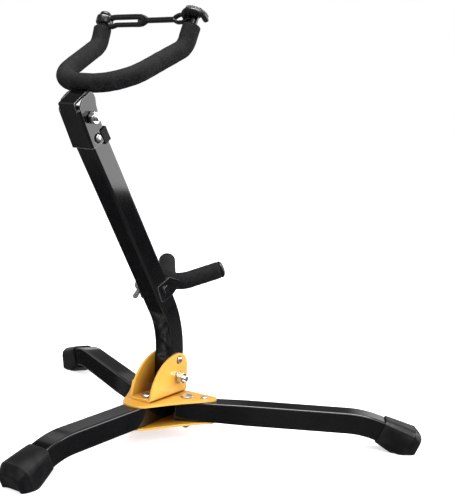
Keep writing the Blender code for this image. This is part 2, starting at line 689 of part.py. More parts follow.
def build_yoke(materials, parent):
    line = yoke_centre_line(6)
    ahead = (line[0] - line[1]).normalized()
    behind = (line[-1] - line[-2]).normalized()
    stretched = [line[0] + ahead * POST, *line, line[-1] + behind * POST]
    add_piece("yoke_rod", rod(stretched, ROD, 10), materials["black"], parent)
    foam = add_piece("yoke_foam", sleeve(line, FOAM, ROD + 2 * GAP, 14), materials["foam"], parent)
    low, high = FLANGE_LOW - 0.6 * MM, FLANGE_TOP + 0.6 * MM
    slit = [(0, low), (-17.2 * MM, low), (-17.2 * MM, high), (0, high)]
    half = FLANGE_HALF + 0.5 * MM
    boolean(foam, prism(slit, -half, half, HEAD_FRAME @ SIDE_PROFILE))
    for end, direction, name in ((line[0], ahead, "left"), (line[-1], behind, "right")):
        cap = [(2.8 * MM, 0), (5 * MM, 0.3 * MM), (5.4 * MM, 1.6 * MM), (4.3 * MM, 3.4 * MM),
               (1.8 * MM, 4.2 * MM)]
        place = axis_matrix(end + direction * (POST + GAP), direction)
        add_piece(f"yoke_tip_cap_{name}", turned(cap, place), materials["plastic"], parent)


# Strap frame: origin on the right post, +X towards the left post, +Y forward, +Z up the post
STRAP_RISE = 6.2 * MM
STRAP_TILT = math.radians(1.2)          # the hook's end sits a little higher on its post
POST_LEAN = math.atan2(YOKE_ELBOW.y - YOKE_TIP.y, YOKE_TIP.z - YOKE_ELBOW.z)


def strap_frame():
    up = Vector((0, -math.sin(POST_LEAN), math.cos(POST_LEAN)))
    right_tip = YOKE_TIP + YOKE_SHIFT + up * STRAP_RISE
    across = Vector((-1, 0, 0))
    turn = Matrix((across, up.cross(across), up)).transposed().to_4x4()
    return Matrix.Translation(right_tip) @ turn @ Matrix.Rotation(-STRAP_TILT, 4, "Y")


def build_strap(material, parent):
    """Moulded safety strap: an eye on the right post, a slotted link, a bar and an open hook."""
    frame = strap_frame()
    span = 2 * YOKE_TIP.x + 1 * MM
    eye, eye_hole, eye_half = 8 * MM, 5 * MM, 4 * MM
    eye_ring = ring_solid(eye, 3 * MM, -eye_half, eye_half, frame, 18)
    strap = add_piece("safety_strap", eye_ring, material, parent)
    link = [(6 * MM, -5.5 * MM), (40 * MM, -5.5 * MM), (45 * MM, -2.5 * MM), (45 * MM, 3 * MM),
            (40 * MM, 6.5 * MM), (6 * MM, 6.5 * MM)]
    boolean(strap, prism(link, -2.6 * MM, 2.6 * MM, frame @ ON_EDGE), "UNION")
    bar = turned([(2.6 * MM, 43 * MM), (2.6 * MM, span - 11 * MM)], frame @ ALONG_X)
    boolean(strap, bar, "UNION")
    hook_half = 4.6 * MM
    post = frame @ Matrix.Translation((span, 0, 0))
    hook = ring_solid(12.9 * MM, 6.2 * MM, -hook_half, hook_half, post, 20)
    boolean(strap, hook, "UNION")
    slot = [(13 * MM, -1.5 * MM), (37 * MM, -1.5 * MM), (37 * MM, 1.5 * MM), (13 * MM, 1.5 * MM)]
    boolean(strap, prism(slot, -5 * MM, 5 * MM, frame @ ON_EDGE))
    boolean(strap, turned([(eye_hole, -9 * MM), (eye_hole, 9 * MM)], frame, 14))
    mouth = block((span - 6 * MM, -17 * MM, -9 * MM), (span + 6 * MM, 0, 9 * MM), frame)
    boolean(strap, mouth)


# ---------------------------------------------------------------- lower rest

def grow(outline, distance):
    """Move every side of a convex outline outward."""
    count = len(outline)
    points = [Vector(p) for p in outline]
    centre = sum(points, Vector((0, 0))) / count
    lines = []
    for start, end in zip(points, points[1:] + points[:1]):
        run = (end - start).normalized()
        out = Vector((run.y, -run.x))
        if out.dot(start - centre) < 0:
            out = -out
        lines.append((start + out * distance, run))
    result = []
    for (p, u), (q, w) in zip(lines[-1:] + lines[:-1], lines):
        cross = u.x * w.y - u.y * w.x
        t = ((q.x - p.x) * w.y - (q.y - p.y) * w.x) / cross
        result.append(tuple(p + u * t))
    return result


REST_CHEEK = [(x * MM, y * MM) for x, y in (
    (7.7, 8.7), (-12.9, 4.2), (-26.2, -13.4), (-7.7, -14.5), (9.6, -9.8))]


def build_rest(materials, parent):
    """Fork bracket, U-shaped rod with its foam and end caps."""
    outer = HEAD_WALL + SHEET
    frame = REST_FRAME @ SIDE_PROFILE
    bracket = add_piece("rest_bracket", prism(REST_CHEEK, -outer, outer, frame), materials["black"], parent)
    nose = Vector(REST_CHEEK[2])
    along = (nose - Vector(REST_CHEEK[1])).normalized()
    inward = Vector((-along.y, along.x))
    web = nose - along * 8.5 * MM
    hollow = [(20 * MM, -22 * MM), (20 * MM, 20 * MM), tuple(web - inward * 8 * MM), tuple(web),
              tuple(web + inward * SHEET), tuple(nose + inward * SHEET + along * 6 * MM)]
    boolean(bracket, prism(hollow, -HEAD_WALL, HEAD_WALL, frame))
    drill(bracket, [(REST_PIVOT, SIDE, HOLE, 20 * MM)])

    line = rest_centre_line(5)
    add_piece("rest_rod", rod(line, ROD, 10), materials["black"], parent)
    foam = add_piece("rest_foam", sleeve(line, REST_FOAM, ROD + 2 * GAP, 14), materials["foam"], parent)
    boolean(foam, prism(grow(REST_CHEEK, 0.5 * MM), -outer - 0.5 * MM, outer + 0.5 * MM, frame))
    for end, before, name in ((line[0], line[1], "left"), (line[-1], line[-2], "right")):
        direction = (end - before).normalized()
        cap = [(8.2 * MM, 0), (8.5 * MM, 1 * MM), (7.2 * MM, 3 * MM), (4.7 * MM, 3.8 * MM)]
        place = axis_matrix(end + direction * GAP, direction)
        add_piece(f"rest_end_cap_{name}", turned(cap, place, 14), materials["plastic"], parent)


WING_TURN = math.radians(50)


def build_rest_pivot(material, parent):
    """Cross bolt with a square-faced head on the left and a wing nut on the right."""
    outer = HEAD_WALL + SHEET + GAP
    left = Matrix.Translation(REST_PIVOT - SIDE * outer) @ ALONG_X.inverted()
    reach = 2 * outer + 9 * MM
    head = [(BOLT / 2, -reach), (BOLT / 2, 0), (4.2 * MM, 0), (4.2 * MM, 2.2 * MM)]
    add_piece("rest_pivot_bolt", turned(head, left), material, parent)
    right = Matrix.Translation(REST_PIVOT + SIDE * outer) @ ALONG_X
    add_piece("rest_pivot_washer", ring_solid(6.5 * MM, HOLE, 0, 1 * MM, right, 14), material, parent)
    seat = right @ Matrix.Translation((0, 0, 1 * MM + GAP))
    nut = add_piece("rest_wing_nut", ring_solid(5 * MM, 1.5 * MM, 0, 6 * MM, seat, 14), material, parent)
    wing = [(3 * MM, 1 * MM), (14 * MM, 5.5 * MM), (15 * MM, 9.5 * MM), (11 * MM, 10 * MM),
            (3 * MM, 5 * MM)]
    for turn in (0, 180):
        spin = Matrix.Rotation(math.radians(turn) + WING_TURN, 4, "Z") @ ON_EDGE
        boolean(nut, prism(wing, -1.4 * MM, 1.4 * MM, seat @ spin), "UNION")
    boolean(nut, turned([(BOLT / 2 + GAP, -4 * MM), (BOLT / 2 + GAP, 20 * MM)], seat))


# ---------------------------------------------------------------- the whole stand

def build():
    clear_scene()
    materials = {
        "yellow": make_material("yellow_enamel", (0.86, 0.50, 0.07), 0.3),
        "black": make_material("black_enamel", (0.015, 0.015, 0.017), 0.25),
        "plastic": make_material("black_plastic", (0.03, 0.03, 0.033), 0.5),
        "rubber": make_material("black_rubber", (0.02, 0.02, 0.023), 0.7),
        "foam": make_material("grey_foam", (0.045, 0.043, 0.05), 0.95),
        "steel": make_material("bright_steel", (0.75, 0.75, 0.76), 0.25, 1.0),
    }
    upright = pivot_empty("upright_pivot", UPRIGHT_PIVOT)
    head = pivot_empty("head_pivot", HEAD_PIVOT, upright)
    strap = pivot_empty("strap_pivot", strap_frame().translation, head)
    rest = pivot_empty("rest_pivot", REST_PIVOT, upright)
    upright_lock = HUB + UP * UPRIGHT_LOCK_Z
    head_lock = HEAD_FRAME @ HEAD_LOCK
    upright_buttons, head_buttons = {}, {}
    for name in ("left", "right"):
        upright_buttons[name] = pivot_empty(f"upright_button_{name}_pivot", upright_lock, upright)
        head_buttons[name] = pivot_empty(f"head_button_{name}_pivot", head_lock, upright)

    build_plate("top_plate", TOP_PLATE_LOW, True, materials["yellow"])
    build_plate("bottom_plate", BOTTOM_PLATE_LOW, False, materials["yellow"])
    build_tower(materials["yellow"])
    build_hub_fasteners(materials["steel"])
    build_upright_pivot(materials["steel"])
    build_leg(0, "rear", materials)
    for side, name in ((-1, "left"), (1, "right")):
        leg_joint = pivot_empty(name + "_leg_pivot", leg_spot(side, 0))
        button_spot = leg_spot(side, LEG_LOCK, TOP_PLATE_HIGH)
        button_joint = pivot_empty(name + "_leg_button_pivot", button_spot, leg_joint)
        build_leg(side, name, materials, leg_joint)
        build_leg_lock(side, name, materials, leg_joint, button_joint)

    build_upright(materials, upright)
    build_side_lock("upright", Matrix.Translation(HUB), UP * UPRIGHT_LOCK_Z, EAR_OUTER + 2.4 * MM,
                    materials, upright, upright_buttons)
    build_side_lock("head", HEAD_FRAME, HEAD_LOCK, HEAD_WALL + SHEET + 1.6 * MM,
                    materials, upright, head_buttons)
    build_stop_block(materials["plastic"], upright)
    build_head_pivot(materials["steel"], upright)
    build_rest_pivot(materials["steel"], upright)

    build_head_bracket(materials["black"], head)
    build_yoke(materials, head)
    build_strap(materials["plastic"], strap)
    build_rest(materials, rest)


build()
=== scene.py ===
"""Looks scene of the folding saxophone stand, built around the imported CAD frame.

Row frame: metres, +Z up, ground at Z = 0, -Y is the instrument's side, left is -X.
"""
import json
from math import asin, atan2, copysign, cos, degrees, pi, radians, sin, tan

import bmesh
import bpy
from mathutils import Matrix, Vector, noise


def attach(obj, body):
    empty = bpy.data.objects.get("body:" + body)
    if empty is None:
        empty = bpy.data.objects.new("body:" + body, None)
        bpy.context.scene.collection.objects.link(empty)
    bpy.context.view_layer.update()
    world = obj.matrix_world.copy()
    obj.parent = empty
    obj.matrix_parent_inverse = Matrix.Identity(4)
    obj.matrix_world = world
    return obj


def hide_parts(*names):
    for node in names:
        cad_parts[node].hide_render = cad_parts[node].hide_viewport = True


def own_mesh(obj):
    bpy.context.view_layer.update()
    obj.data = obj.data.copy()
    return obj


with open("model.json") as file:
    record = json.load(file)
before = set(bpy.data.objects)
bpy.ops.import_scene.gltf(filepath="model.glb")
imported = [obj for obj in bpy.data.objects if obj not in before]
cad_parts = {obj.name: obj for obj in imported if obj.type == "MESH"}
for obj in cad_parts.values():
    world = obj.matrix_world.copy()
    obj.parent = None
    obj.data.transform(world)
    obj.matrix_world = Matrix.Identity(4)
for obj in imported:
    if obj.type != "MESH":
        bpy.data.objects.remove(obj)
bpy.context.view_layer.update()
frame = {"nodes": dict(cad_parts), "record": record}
NODES = frame["nodes"]

MM = 0.001
UP = Vector((0, 0, 1))
SIDE = Vector((1, 0, 0))
ACROSS = Vector((0, 1, 0))


def mm(*points):
    """Points given in millimetres, as tuples in metres."""
    return [tuple(value * MM for value in point) for point in points]


def move(vector):
    return Matrix.Translation(vector)


def rotation(angle, axis="Z"):
    return Matrix.Rotation(radians(angle), 4, axis)


def grey(value):
    return (value, value, value)


# ---------------------------------------------------------------- sizes

# Tubes, sheets and fasteners
TUBE = 20 * MM
WALL = 1.5 * MM
TUBE_CORNER = 1.9 * MM
SHEET = 2.2 * MM
PLATE = 2.0 * MM
ROD = 8 * MM
BOLT = 6 * MM
BUTTON = 3.3 * MM
BOLT_HOLE = BOLT / 2 + 0.4 * MM
BUTTON_HOLE = BUTTON + 0.5 * MM
GAP = 0.3 * MM

# Hub and legs
HUB_Y = -51.83 * MM
LEG_BOTTOM = 16 * MM
LEG_ANGLE = radians(61)
LEG_PIVOT = Vector((25 * MM, HUB_Y + 1 * MM, 0))
REAR_LEG_START = HUB_Y - 7.5 * MM
LEG_INNER = 10 * MM
REAR_LEG_STRAIGHT = 155.5 * MM
SIDE_LEG_STRAIGHT = 160.5 * MM
LEG_BEND_RADIUS = 96 * MM
LEG_BEND = radians(24)
LEG_TAIL = 14 * MM
LEG_LOCK = 17.5 * MM
FOOT_BACK = 6 * MM
FOOT_REACH = 39.5 * MM

# Upright, with the distances of the head and the rest measured up from its bend
LEAN = radians(34.65)
UPRIGHT_FOOT = 46.5 * MM
UPRIGHT_PIVOT_Z = 56 * MM
UPRIGHT_LOCK_Z = 74 * MM
BEND_START_Z = 75 * MM
BEND_RADIUS = 103 * MM
HEAD_DISTANCE = 219.5 * MM
REST_DISTANCE = 20.5 * MM
DENT = 4.4 * MM

# Yoke, strap and lower rest, as points from the hub; POST is the bare rod past the yoke's foam
YOKE_TIP = Vector((51.0, 58.5, 395.6)) * MM
YOKE_ELBOW = Vector((49.8, 64.8, 378.4)) * MM
YOKE_CORNER = Vector((37.4, 138.3, 343.0)) * MM
FOAM = 16.6 * MM
POST = 11 * MM
STRAP_RISE = 6.0 * MM
REST_TIP = Vector((33.0, -34.2, 164.7)) * MM
REST_CORNER = Vector((9.0, -4.0, 152.5)) * MM
REST_FOAM = 17 * MM

# Heights and places worked out from them
LEG_TOP = LEG_BOTTOM + TUBE
TOP_PLATE_LOW = LEG_TOP + GAP
TOP_PLATE_HIGH = TOP_PLATE_LOW + PLATE
BOTTOM_PLATE_LOW = LEG_BOTTOM - GAP - PLATE
TOWER_LOW = TOP_PLATE_HIGH + GAP
TOWER_FLOOR = TOWER_LOW + SHEET
EAR_INNER = TUBE / 2 + 0.6 * MM
EAR_OUTER = EAR_INNER + SHEET
NUT_LOW = BOTTOM_PLATE_LOW - 5.3 * MM

HUB = Vector((0, HUB_Y, 0))
UPRIGHT_PIVOT = HUB + UP * UPRIGHT_PIVOT_Z
TUBE_UP = Vector((0, sin(LEAN), cos(LEAN)))
TUBE_BACK = Vector((0, cos(LEAN), -sin(LEAN)))
BEND_CENTRE = HUB + Vector((0, BEND_RADIUS, BEND_START_Z))
BEND_END = BEND_CENTRE - BEND_RADIUS * TUBE_BACK
HEAD_PIVOT = BEND_END + TUBE_UP * HEAD_DISTANCE
REST_PIVOT = BEND_END + TUBE_UP * REST_DISTANCE
LEANING = Matrix.Rotation(-LEAN, 4, "X")
HEAD_FRAME = move(HEAD_PIVOT) @ LEANING
REST_FRAME = move(REST_PIVOT) @ LEANING
HUB_FRAME = move(HUB)
HEAD_LOCK_FRAME = HEAD_FRAME @ move((0, 2.5 * MM, -19.5 * MM))

# Turns for flat outlines: (y, z) pushed along x, (x, z) pushed along y, and stood on edge
SIDE_PROFILE = Matrix(((0, 0, 1, 0), (1, 0, 0, 0), (0, 1, 0, 0), (0, 0, 0, 1)))
FRONT_PROFILE = Matrix(((1, 0, 0, 0), (0, 0, 1, 0), (0, 1, 0, 0), (0, 0, 0, 1)))
ON_EDGE = Matrix(((1, 0, 0, 0), (0, 0, -1, 0), (0, 1, 0, 0), (0, 0, 0, 1)))
ALONG_X = rotation(90, "Y")  # the z axis laid on +X
HEAD_SIDE = HEAD_FRAME @ SIDE_PROFILE
REST_SIDE = REST_FRAME @ SIDE_PROFILE


# ---------------------------------------------------------------- materials

def put(node, **values):
    """Set a node's sockets by name; an underscore stands for a space."""
    for key, value in values.items():
        node.inputs[key.replace("_", " ")].default_value = value


def node_material(name, colour, roughness, **inputs):
    material = bpy.data.materials.new(name)
    material.use_nodes = True
    shader = material.node_tree.nodes["Principled BSDF"]
    put(shader, Base_Color=(*colour, 1), Roughness=roughness, **inputs)
    return material, material.node_tree, shader


def noise_texture(tree, scale, detail=4.0, stretch=(1, 1, 1)):
    """Noise in the object's own coordinates, so it moves with its piece."""
    place = tree.nodes.new("ShaderNodeTexCoord")
    mapping = tree.nodes.new("ShaderNodeMapping")
    put(mapping, Scale=stretch)
    texture = tree.nodes.new("ShaderNodeTexNoise")
    put(texture, Scale=scale, Detail=detail)
    tree.links.new(place.outputs["Object"], mapping.inputs["Vector"])
    tree.links.new(mapping.outputs["Vector"], texture.inputs["Vector"])
    return texture.outputs["Fac"]


def ramp(tree, source, stops):
    node = tree.nodes.new("ShaderNodeValToRGB")
    elements = node.color_ramp.elements
    while len(elements) < len(stops):
        elements.new(0.5)
    for element, (position, colour) in zip(elements, stops):
        element.position = position
        element.color = (*colour, 1)
    tree.links.new(source, node.inputs["Fac"])
    return node.outputs["Color"]


def map_range(tree, source, low, high, to_low, to_high):
    node = tree.nodes.new("ShaderNodeMapRange")
    put(node, From_Min=low, From_Max=high, To_Min=to_low, To_Max=to_high)
    tree.links.new(source, node.inputs["Value"])
    return node.outputs["Result"]


def bump(tree, shader, layers):
    """Stack bump layers of (height, strength, distance) onto the shader's normal."""
    normal = None
    for height, strength, distance in layers:
        node = tree.nodes.new("ShaderNodeBump")
        put(node, Strength=strength, Distance=distance)
        tree.links.new(height, node.inputs["Height"])
        if normal:
            tree.links.new(normal, node.inputs["Normal"])
        normal = node.outputs["Normal"]
    tree.links.new(normal, shader.inputs["Normal"])


def rim_highlight_mask(tree, radius):
    """1 on the rounded rims of a sheet, where the painted rim highlight goes; 0 on its flat faces."""
    rounded = tree.nodes.new("ShaderNodeBevel")
    rounded.samples = 6
    put(rounded, Radius=radius)
    flat = tree.nodes.new("ShaderNodeNewGeometry")
    dot = tree.nodes.new("ShaderNodeVectorMath")
    dot.operation = "DOT_PRODUCT"
    tree.links.new(rounded.outputs["Normal"], dot.inputs[0])
    tree.links.new(flat.outputs["True Normal"], dot.inputs[1])
    return map_range(tree, dot.outputs["Value"], 0.99, 0.9, 0, 1)


def crevice_shade_mask(tree, distance):
    """Painted shade mask: 1 deep in a gap or a corner, 0 on open faces."""
    node = tree.nodes.new("ShaderNodeAmbientOcclusion")
    node.samples = 8
    put(node, Distance=distance)
    return map_range(tree, node.outputs["AO"], 0.52, 0.15, 0, 1)


def mix_colour(tree, factor, base, colour):
    """Base colour with a flat colour laid over it where the factor is 1."""
    mix = tree.nodes.new("ShaderNodeMix")
    mix.data_type = "RGBA"
    tree.links.new(factor, mix.inputs["Factor"])
    tree.links.new(base, mix.inputs["A"])
    put(mix, B=(*colour, 1))
    return mix.outputs["Result"]


def enamel(name, colour, darker, rim, roughness, peel, coat=1.0, haze=0.07, specular=0.0, painted_shade=None):
    """Powder coat: orange peel, slow colour drift, dull smudges, a painted highlight in a lighter colour
    on the rims, and painted shade in gaps and corners when a shade colour is given.
    """
    material, tree, shader = node_material(name, colour, roughness, Coat_Weight=coat,
                                           Coat_Roughness=haze, Specular_IOR_Level=specular)
    drift = noise_texture(tree, 38, 3)
    body = ramp(tree, drift, [(0.3, darker), (0.7, colour)])
    # Painted highlight: the rims are mixed toward a lighter colour that stands in for edge reflections
    painted = mix_colour(tree, rim_highlight_mask(tree, 0.0007), body, rim)
    # Painted shade: gaps and corners are darkened toward a brown by ambient occlusion
    if painted_shade:
        painted = mix_colour(tree, crevice_shade_mask(tree, 0.04), painted, painted_shade)
    tree.links.new(painted, shader.inputs["Base Color"])
    smudge = noise_texture(tree, 55, 5)
    rough = map_range(tree, smudge, 0.35, 0.75, roughness - 0.05, roughness + 0.12)
    tree.links.new(rough, shader.inputs["Roughness"])
    fine = noise_texture(tree, 700, 2)
    waves = noise_texture(tree, 190, 1)
    bump(tree, shader, [(waves, peel, 0.0006), (fine, 0.5 * peel, 0.00015)])
    return material


def steel_material():
    """Zinc-plated fasteners: fine turning marks and small dull spots."""
    material, tree, shader = node_material("zinc_steel", (0.72, 0.73, 0.74), 0.24, Metallic=1.0)
    spots = noise_texture(tree, 900, 5)
    tint = ramp(tree, spots, [(0.35, (0.52, 0.53, 0.54)), (0.6, (0.78, 0.79, 0.8))])
    tree.links.new(tint, shader.inputs["Base Color"])
    lines = noise_texture(tree, 420, 3, (1, 1, 14))
    tree.links.new(map_range(tree, lines, 0.3, 0.7, 0.16, 0.34), shader.inputs["Roughness"])
    bump(tree, shader, [(lines, 0.12, 0.0001)])
    return material


def foam_material():
    """Closed-cell foam: dark grey skin, open pits and a pale speckle of cut cells."""
    material, tree, shader = node_material("speckled_foam", (0.02, 0.019, 0.022), 0.8,
                                           Specular_IOR_Level=0.15)
    cells = noise_texture(tree, 1500, 3)
    blotch = noise_texture(tree, 140, 4)
    base = ramp(tree, blotch, [(0.35, (0.0032, 0.0029, 0.0034)), (0.7, (0.0068, 0.0062, 0.0075))])
    speck = ramp(tree, cells, [(0.60, grey(0)), (0.72, grey(1))])
    tree.links.new(mix_colour(tree, speck, base, (0.05, 0.047, 0.052)), shader.inputs["Base Color"])
    bump(tree, shader, [(blotch, 0.35, 0.0008), (cells, 0.6, 0.0004)])
    return material


def moulded_material(name, colour, roughness, grain, specular=0.5):
    material, tree, shader = node_material(name, colour, roughness, Specular_IOR_Level=specular)
    dust = noise_texture(tree, 70, 5)
    pale = tuple(min(1, 1.9 * c + 0.006) for c in colour)
    tree.links.new(ramp(tree, dust, [(0.45, colour), (0.85, pale)]), shader.inputs["Base Color"])
    tree.links.new(map_range(tree, dust, 0.35, 0.75, roughness - 0.05, roughness + 0.12),
                   shader.inputs["Roughness"])
    fine = noise_texture(tree, 1500, 2)
    slow = noise_texture(tree, 160, 2)
    bump(tree, shader, [(slow, 0.12, 0.0005), (fine, grain, 0.0001)])
    return material


# The third colour of each enamel is a painted highlight on its rims; black_sheet's brighter grey rims
# stand in for the white edge reflections on the sheet brackets
MATERIALS = {
    # The hub enamel's brown is painted shade, laid into its gaps and corners
    "hub_enamel": enamel("yellow_powder_coat", (0.84, 0.44, 0.05), (0.73, 0.36, 0.035), (1.0, 0.66, 0.2),
                         0.36, 0.1, coat=0.35, haze=0.18, specular=0.5, painted_shade=(0.2, 0.06, 0.004)),
    "black_enamel": enamel("black_powder_coat", (0.0035, 0.0035, 0.004), (0.002, 0.002, 0.0025),
                           (0.04, 0.04, 0.042), 0.13, 0.035),
    "black_sheet": enamel("black_sheet_coat", (0.0035, 0.0035, 0.004), (0.002, 0.002, 0.0025),
                          (0.22, 0.22, 0.23), 0.15, 0.035),
    "moulded_plastic": moulded_material("black_moulding", (0.003, 0.003, 0.0035), 0.2, 0.1),
    "matte_moulding": moulded_material("matte_moulding", (0.002, 0.002, 0.0025), 0.45, 0.1, 0.12),
    "foam_cover": foam_material(),
    "foot_rubber": moulded_material("satin_rubber", (0.004, 0.004, 0.0047), 0.34, 0.15, 0.18),
    "steel": steel_material(),
}


# ---------------------------------------------------------------- mesh helpers

def skin(rings, closed=False, caps=True):
    """Skin a list of equal rings of points."""
    bm = bmesh.new()
    loops = [[bm.verts.new(point) for point in ring] for ring in rings]
    count = len(loops[0])
    pairs = list(zip(loops, loops[1:]))
    if closed:
        pairs.append((loops[-1], loops[0]))
    for lower, upper in pairs:
        for i in range(count):
            j = (i + 1) % count
            bm.faces.new((lower[i], lower[j], upper[j], upper[i]))
    if caps and not closed:
        bm.faces.new(loops[0])
        bm.faces.new(loops[-1])
    return bm


def prism(outline, low, high, matrix=Matrix.Identity(4)):
    return skin([[matrix @ Vector((x, y, z)) for x, y in outline] for z in (low, high)])


def block(low, high, matrix=Matrix.Identity(4)):
    outline = [(low[0], low[1]), (high[0], low[1]), (high[0], high[1]), (low[0], high[1])]
    return prism(outline, low[2], high[2], matrix)


def circle(radius, sides):
    turns = [2 * pi * i / sides for i in range(sides)]
    return [(radius * cos(a), radius * sin(a)) for a in turns]


def turned(profile, matrix=Matrix.Identity(4), sides=40, closed=False):
    """Spin a profile of (radius, z) points about the z axis."""
    return skin([[matrix @ Vector((x, y, z)) for x, y in circle(radius, sides)]
                 for radius, z in profile], closed)


def ring_solid(outer, inner, low, high, matrix=Matrix.Identity(4), sides=40):
    corners = ((outer, low), (outer, high), (inner, high), (inner, low))
    return turned(corners, matrix, sides, closed=True)


def arc(centre, radius, start, end, steps):
    angles = [radians(start + (end - start) * i / steps) for i in range(steps + 1)]
    return [(centre[0] + radius * cos(a), centre[1] + radius * sin(a)) for a in angles]


def round_corners(outline, radii, steps=5):
    """Round the corners of a flat outline; radii is one number or one for each corner."""
    count = len(outline)
    if not hasattr(radii, "__len__"):
        radii = [radii] * count
    result = []
    for i, radius in enumerate(radii):
        corner = Vector(outline[i])
        back = Vector(outline[i - 1]) - corner
        ahead = Vector(outline[(i + 1) % count]) - corner
        angle = back.angle(ahead)
        if radius <= 0 or angle > radians(176):
            result.append(tuple(corner))
            continue
        reach = min(radius / tan(angle / 2), 0.45 * min(back.length, ahead.length))
        first = corner + back.normalized() * reach
        last = corner + ahead.normalized() * reach
        for k in range(steps + 1):
            t = k / steps
            result.append(tuple((1 - t) ** 2 * first + 2 * t * (1 - t) * corner + t * t * last))
    return result


def fillet_path(corners, radii, steps=6, spacing=None):
    """A smooth 3-D centre line through straight runs, with an arc at each inner corner."""
    path = [corners[0].copy()]
    for before, corner, after, radius in zip(corners, corners[1:], corners[2:], radii):
        back = (before - corner).normalized()
        ahead = (after - corner).normalized()
        angle = back.angle(ahead)
        reach = radius / tan(angle / 2)
        reach = min(reach, 0.49 * min((before - corner).length, (after - corner).length))
        true_radius = reach * tan(angle / 2)
        centre = corner + (back + ahead).normalized() * true_radius / sin(angle / 2)
        first = corner + back * reach - centre
        last = corner + ahead * reach - centre
        turn = pi - angle
        for i in range(steps + 1):
            t = i / steps
            point = (sin((1 - t) * turn) * first + sin(t * turn) * last) / sin(turn)
            path.append(centre + point)
    path.append(corners[-1].copy())
    return respace(path, spacing) if spacing else path


def respace(path, spacing):
    """The same line with evenly spaced points."""
    lengths = [0.0]
    for a, b in zip(path, path[1:]):
        lengths.append(lengths[-1] + (b - a).length)
    count = max(2, round(lengths[-1] / spacing))
    result, k = [], 0
    for i in range(count + 1):
        target = lengths[-1] * i / count
        while k < len(path) - 2 and lengths[k + 1] < target:
            k += 1
        t = (target - lengths[k]) / max(lengths[k + 1] - lengths[k], 1e-9)
        result.append(path[k].lerp(path[k + 1], t))
    return result


def path_frames(path, start_side):
    """(point, side, up, forward) at each point of a path, without twist."""
    frames = []
    side = start_side.normalized()
    for i, point in enumerate(path):
        forward = (path[min(i + 1, len(path) - 1)] - path[max(i - 1, 0)]).normalized()
        side = (side - forward * side.dot(forward)).normalized()
        frames.append((point, side, forward.cross(side), forward))
    return frames


def path_rings(path, section, start_side):
    return [[p + side * a + up * b for a, b in section(i)]
            for i, (p, side, up, _) in enumerate(path_frames(path, start_side))]


def square_section(width, corner, steps=6, face_points=0):
    """A square with round corners and a support point just beside each of them."""
    reach = width / 2 - corner
    points = []
    for x, y, start in ((1, 1, 0), (-1, 1, 90), (-1, -1, 180), (1, -1, 270)):
        turn = arc((x * reach, y * reach), corner, start, start + 90, steps)
        first, last = Vector(turn[0]), Vector(turn[-1])
        run = Vector((cos(radians(start + 90)), sin(radians(start + 90))))
        out = Vector((cos(radians(start)), sin(radians(start))))
        points.append(tuple(first - run * 0.4 * MM))
        points += turn
        points.append(tuple(last - out * 0.4 * MM))
        flat = 2 * reach - 0.8 * MM
        for k in range(1, face_points + 1):
            points.append(tuple(last - out * (0.4 * MM + flat * k / (face_points + 1))))
    return points


def axis_matrix(place, direction):
    return move(place) @ direction.to_track_quat("Z", "Y").to_matrix().to_4x4()


def add_object(name, data):
    obj = bpy.data.objects.new(name, data)
    bpy.context.collection.objects.link(obj)
    return obj


def mesh_from(name, bm):
    mesh = bpy.data.meshes.new(name)
    bm.to_mesh(mesh)
    bm.free()
    return mesh


def object_from(name, bm):
    bmesh.ops.recalc_face_normals(bm, faces=bm.faces)
    return add_object(name, mesh_from(name, bm))


def apply_modifiers(obj):
    bpy.context.view_layer.update()
    graph = bpy.context.evaluated_depsgraph_get()
    mesh = bpy.data.meshes.new_from_object(obj.evaluated_get(graph))
    old = obj.data
    obj.modifiers.clear()
    obj.data = mesh
    bpy.data.meshes.remove(old)


def cut(obj, bm, operation="DIFFERENCE"):
    tool = object_from("tool", bm)
    modifier = obj.modifiers.new("cut", "BOOLEAN")
    modifier.operation = operation
    modifier.solver = "EXACT"
    modifier.object = tool
    apply_modifiers(obj)
    old = tool.data
    bpy.data.objects.remove(tool)
    bpy.data.meshes.remove(old)


def drill(obj, holes):
    for place, direction, radius, half in holes:
        cut(obj, turned([(radius, -half), (radius, half)], axis_matrix(place, direction), 32))


def soften(obj, width, segments=3, angle=35):
    """Round the sharp edges, as on a deburred and painted sheet."""
    obj.data.shade_smooth()
    weld = obj.modifiers.new("weld", "WELD")
    weld.merge_threshold = 0.00001
    modifier = obj.modifiers.new("bevel", "BEVEL")
    modifier.width = width
    modifier.segments = segments
    modifier.limit_method = "ANGLE"
    modifier.angle_limit = radians(angle)
    modifier.miter_outer = "MITER_ARC"
    obj.modifiers.new("normals", "WEIGHTED_NORMAL").keep_sharp = True
    apply_modifiers(obj)


def finish_piece(obj, slot, body, *nodes, sharp=40):
    """Material, shading, body and the CAD nodes that the piece stands for."""
    mesh = obj.data
    mesh.materials.clear()
    mesh.materials.append(MATERIALS[slot])
    slot = {"black_sheet": "black_enamel", "matte_moulding": "moulded_plastic"}.get(slot, slot)
    if not mesh.has_custom_normals:
        mesh.shade_smooth()
        mesh.set_sharp_from_angle(angle=radians(sharp))
    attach(obj, body)
    if nodes:
        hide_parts(*nodes)
    return obj


def piece(name, bm, slot, body, *nodes, sharp=40):
    return finish_piece(object_from(name, bm), slot, body, *nodes, sharp=sharp)


def soft_piece(obj, width, segments, slot, body, *nodes):
    soften(obj, width, segments)
    return finish_piece(obj, slot, body, *nodes)


def remesh(name, parts, voxel, smooth, slot, body, *nodes):
    """Fuse overlapping closed shapes into one moulded or cast form."""
    whole = bmesh.new()
    for part in parts:
        bmesh.ops.recalc_face_normals(part, faces=part.faces)
        loose = mesh_from("part", part)
        whole.from_mesh(loose)
        bpy.data.meshes.remove(loose)
    obj = add_object(name, mesh_from(name, whole))
    modifier = obj.modifiers.new("fuse", "REMESH")
    modifier.mode = "VOXEL"
    modifier.voxel_size = voxel
    soft = obj.modifiers.new("soft", "SMOOTH")
    soft.factor = 0.5
    soft.iterations = smooth
    apply_modifiers(obj)
    return finish_piece(obj, slot, body, *nodes, sharp=80)


# ---------------------------------------------------------------- fasteners

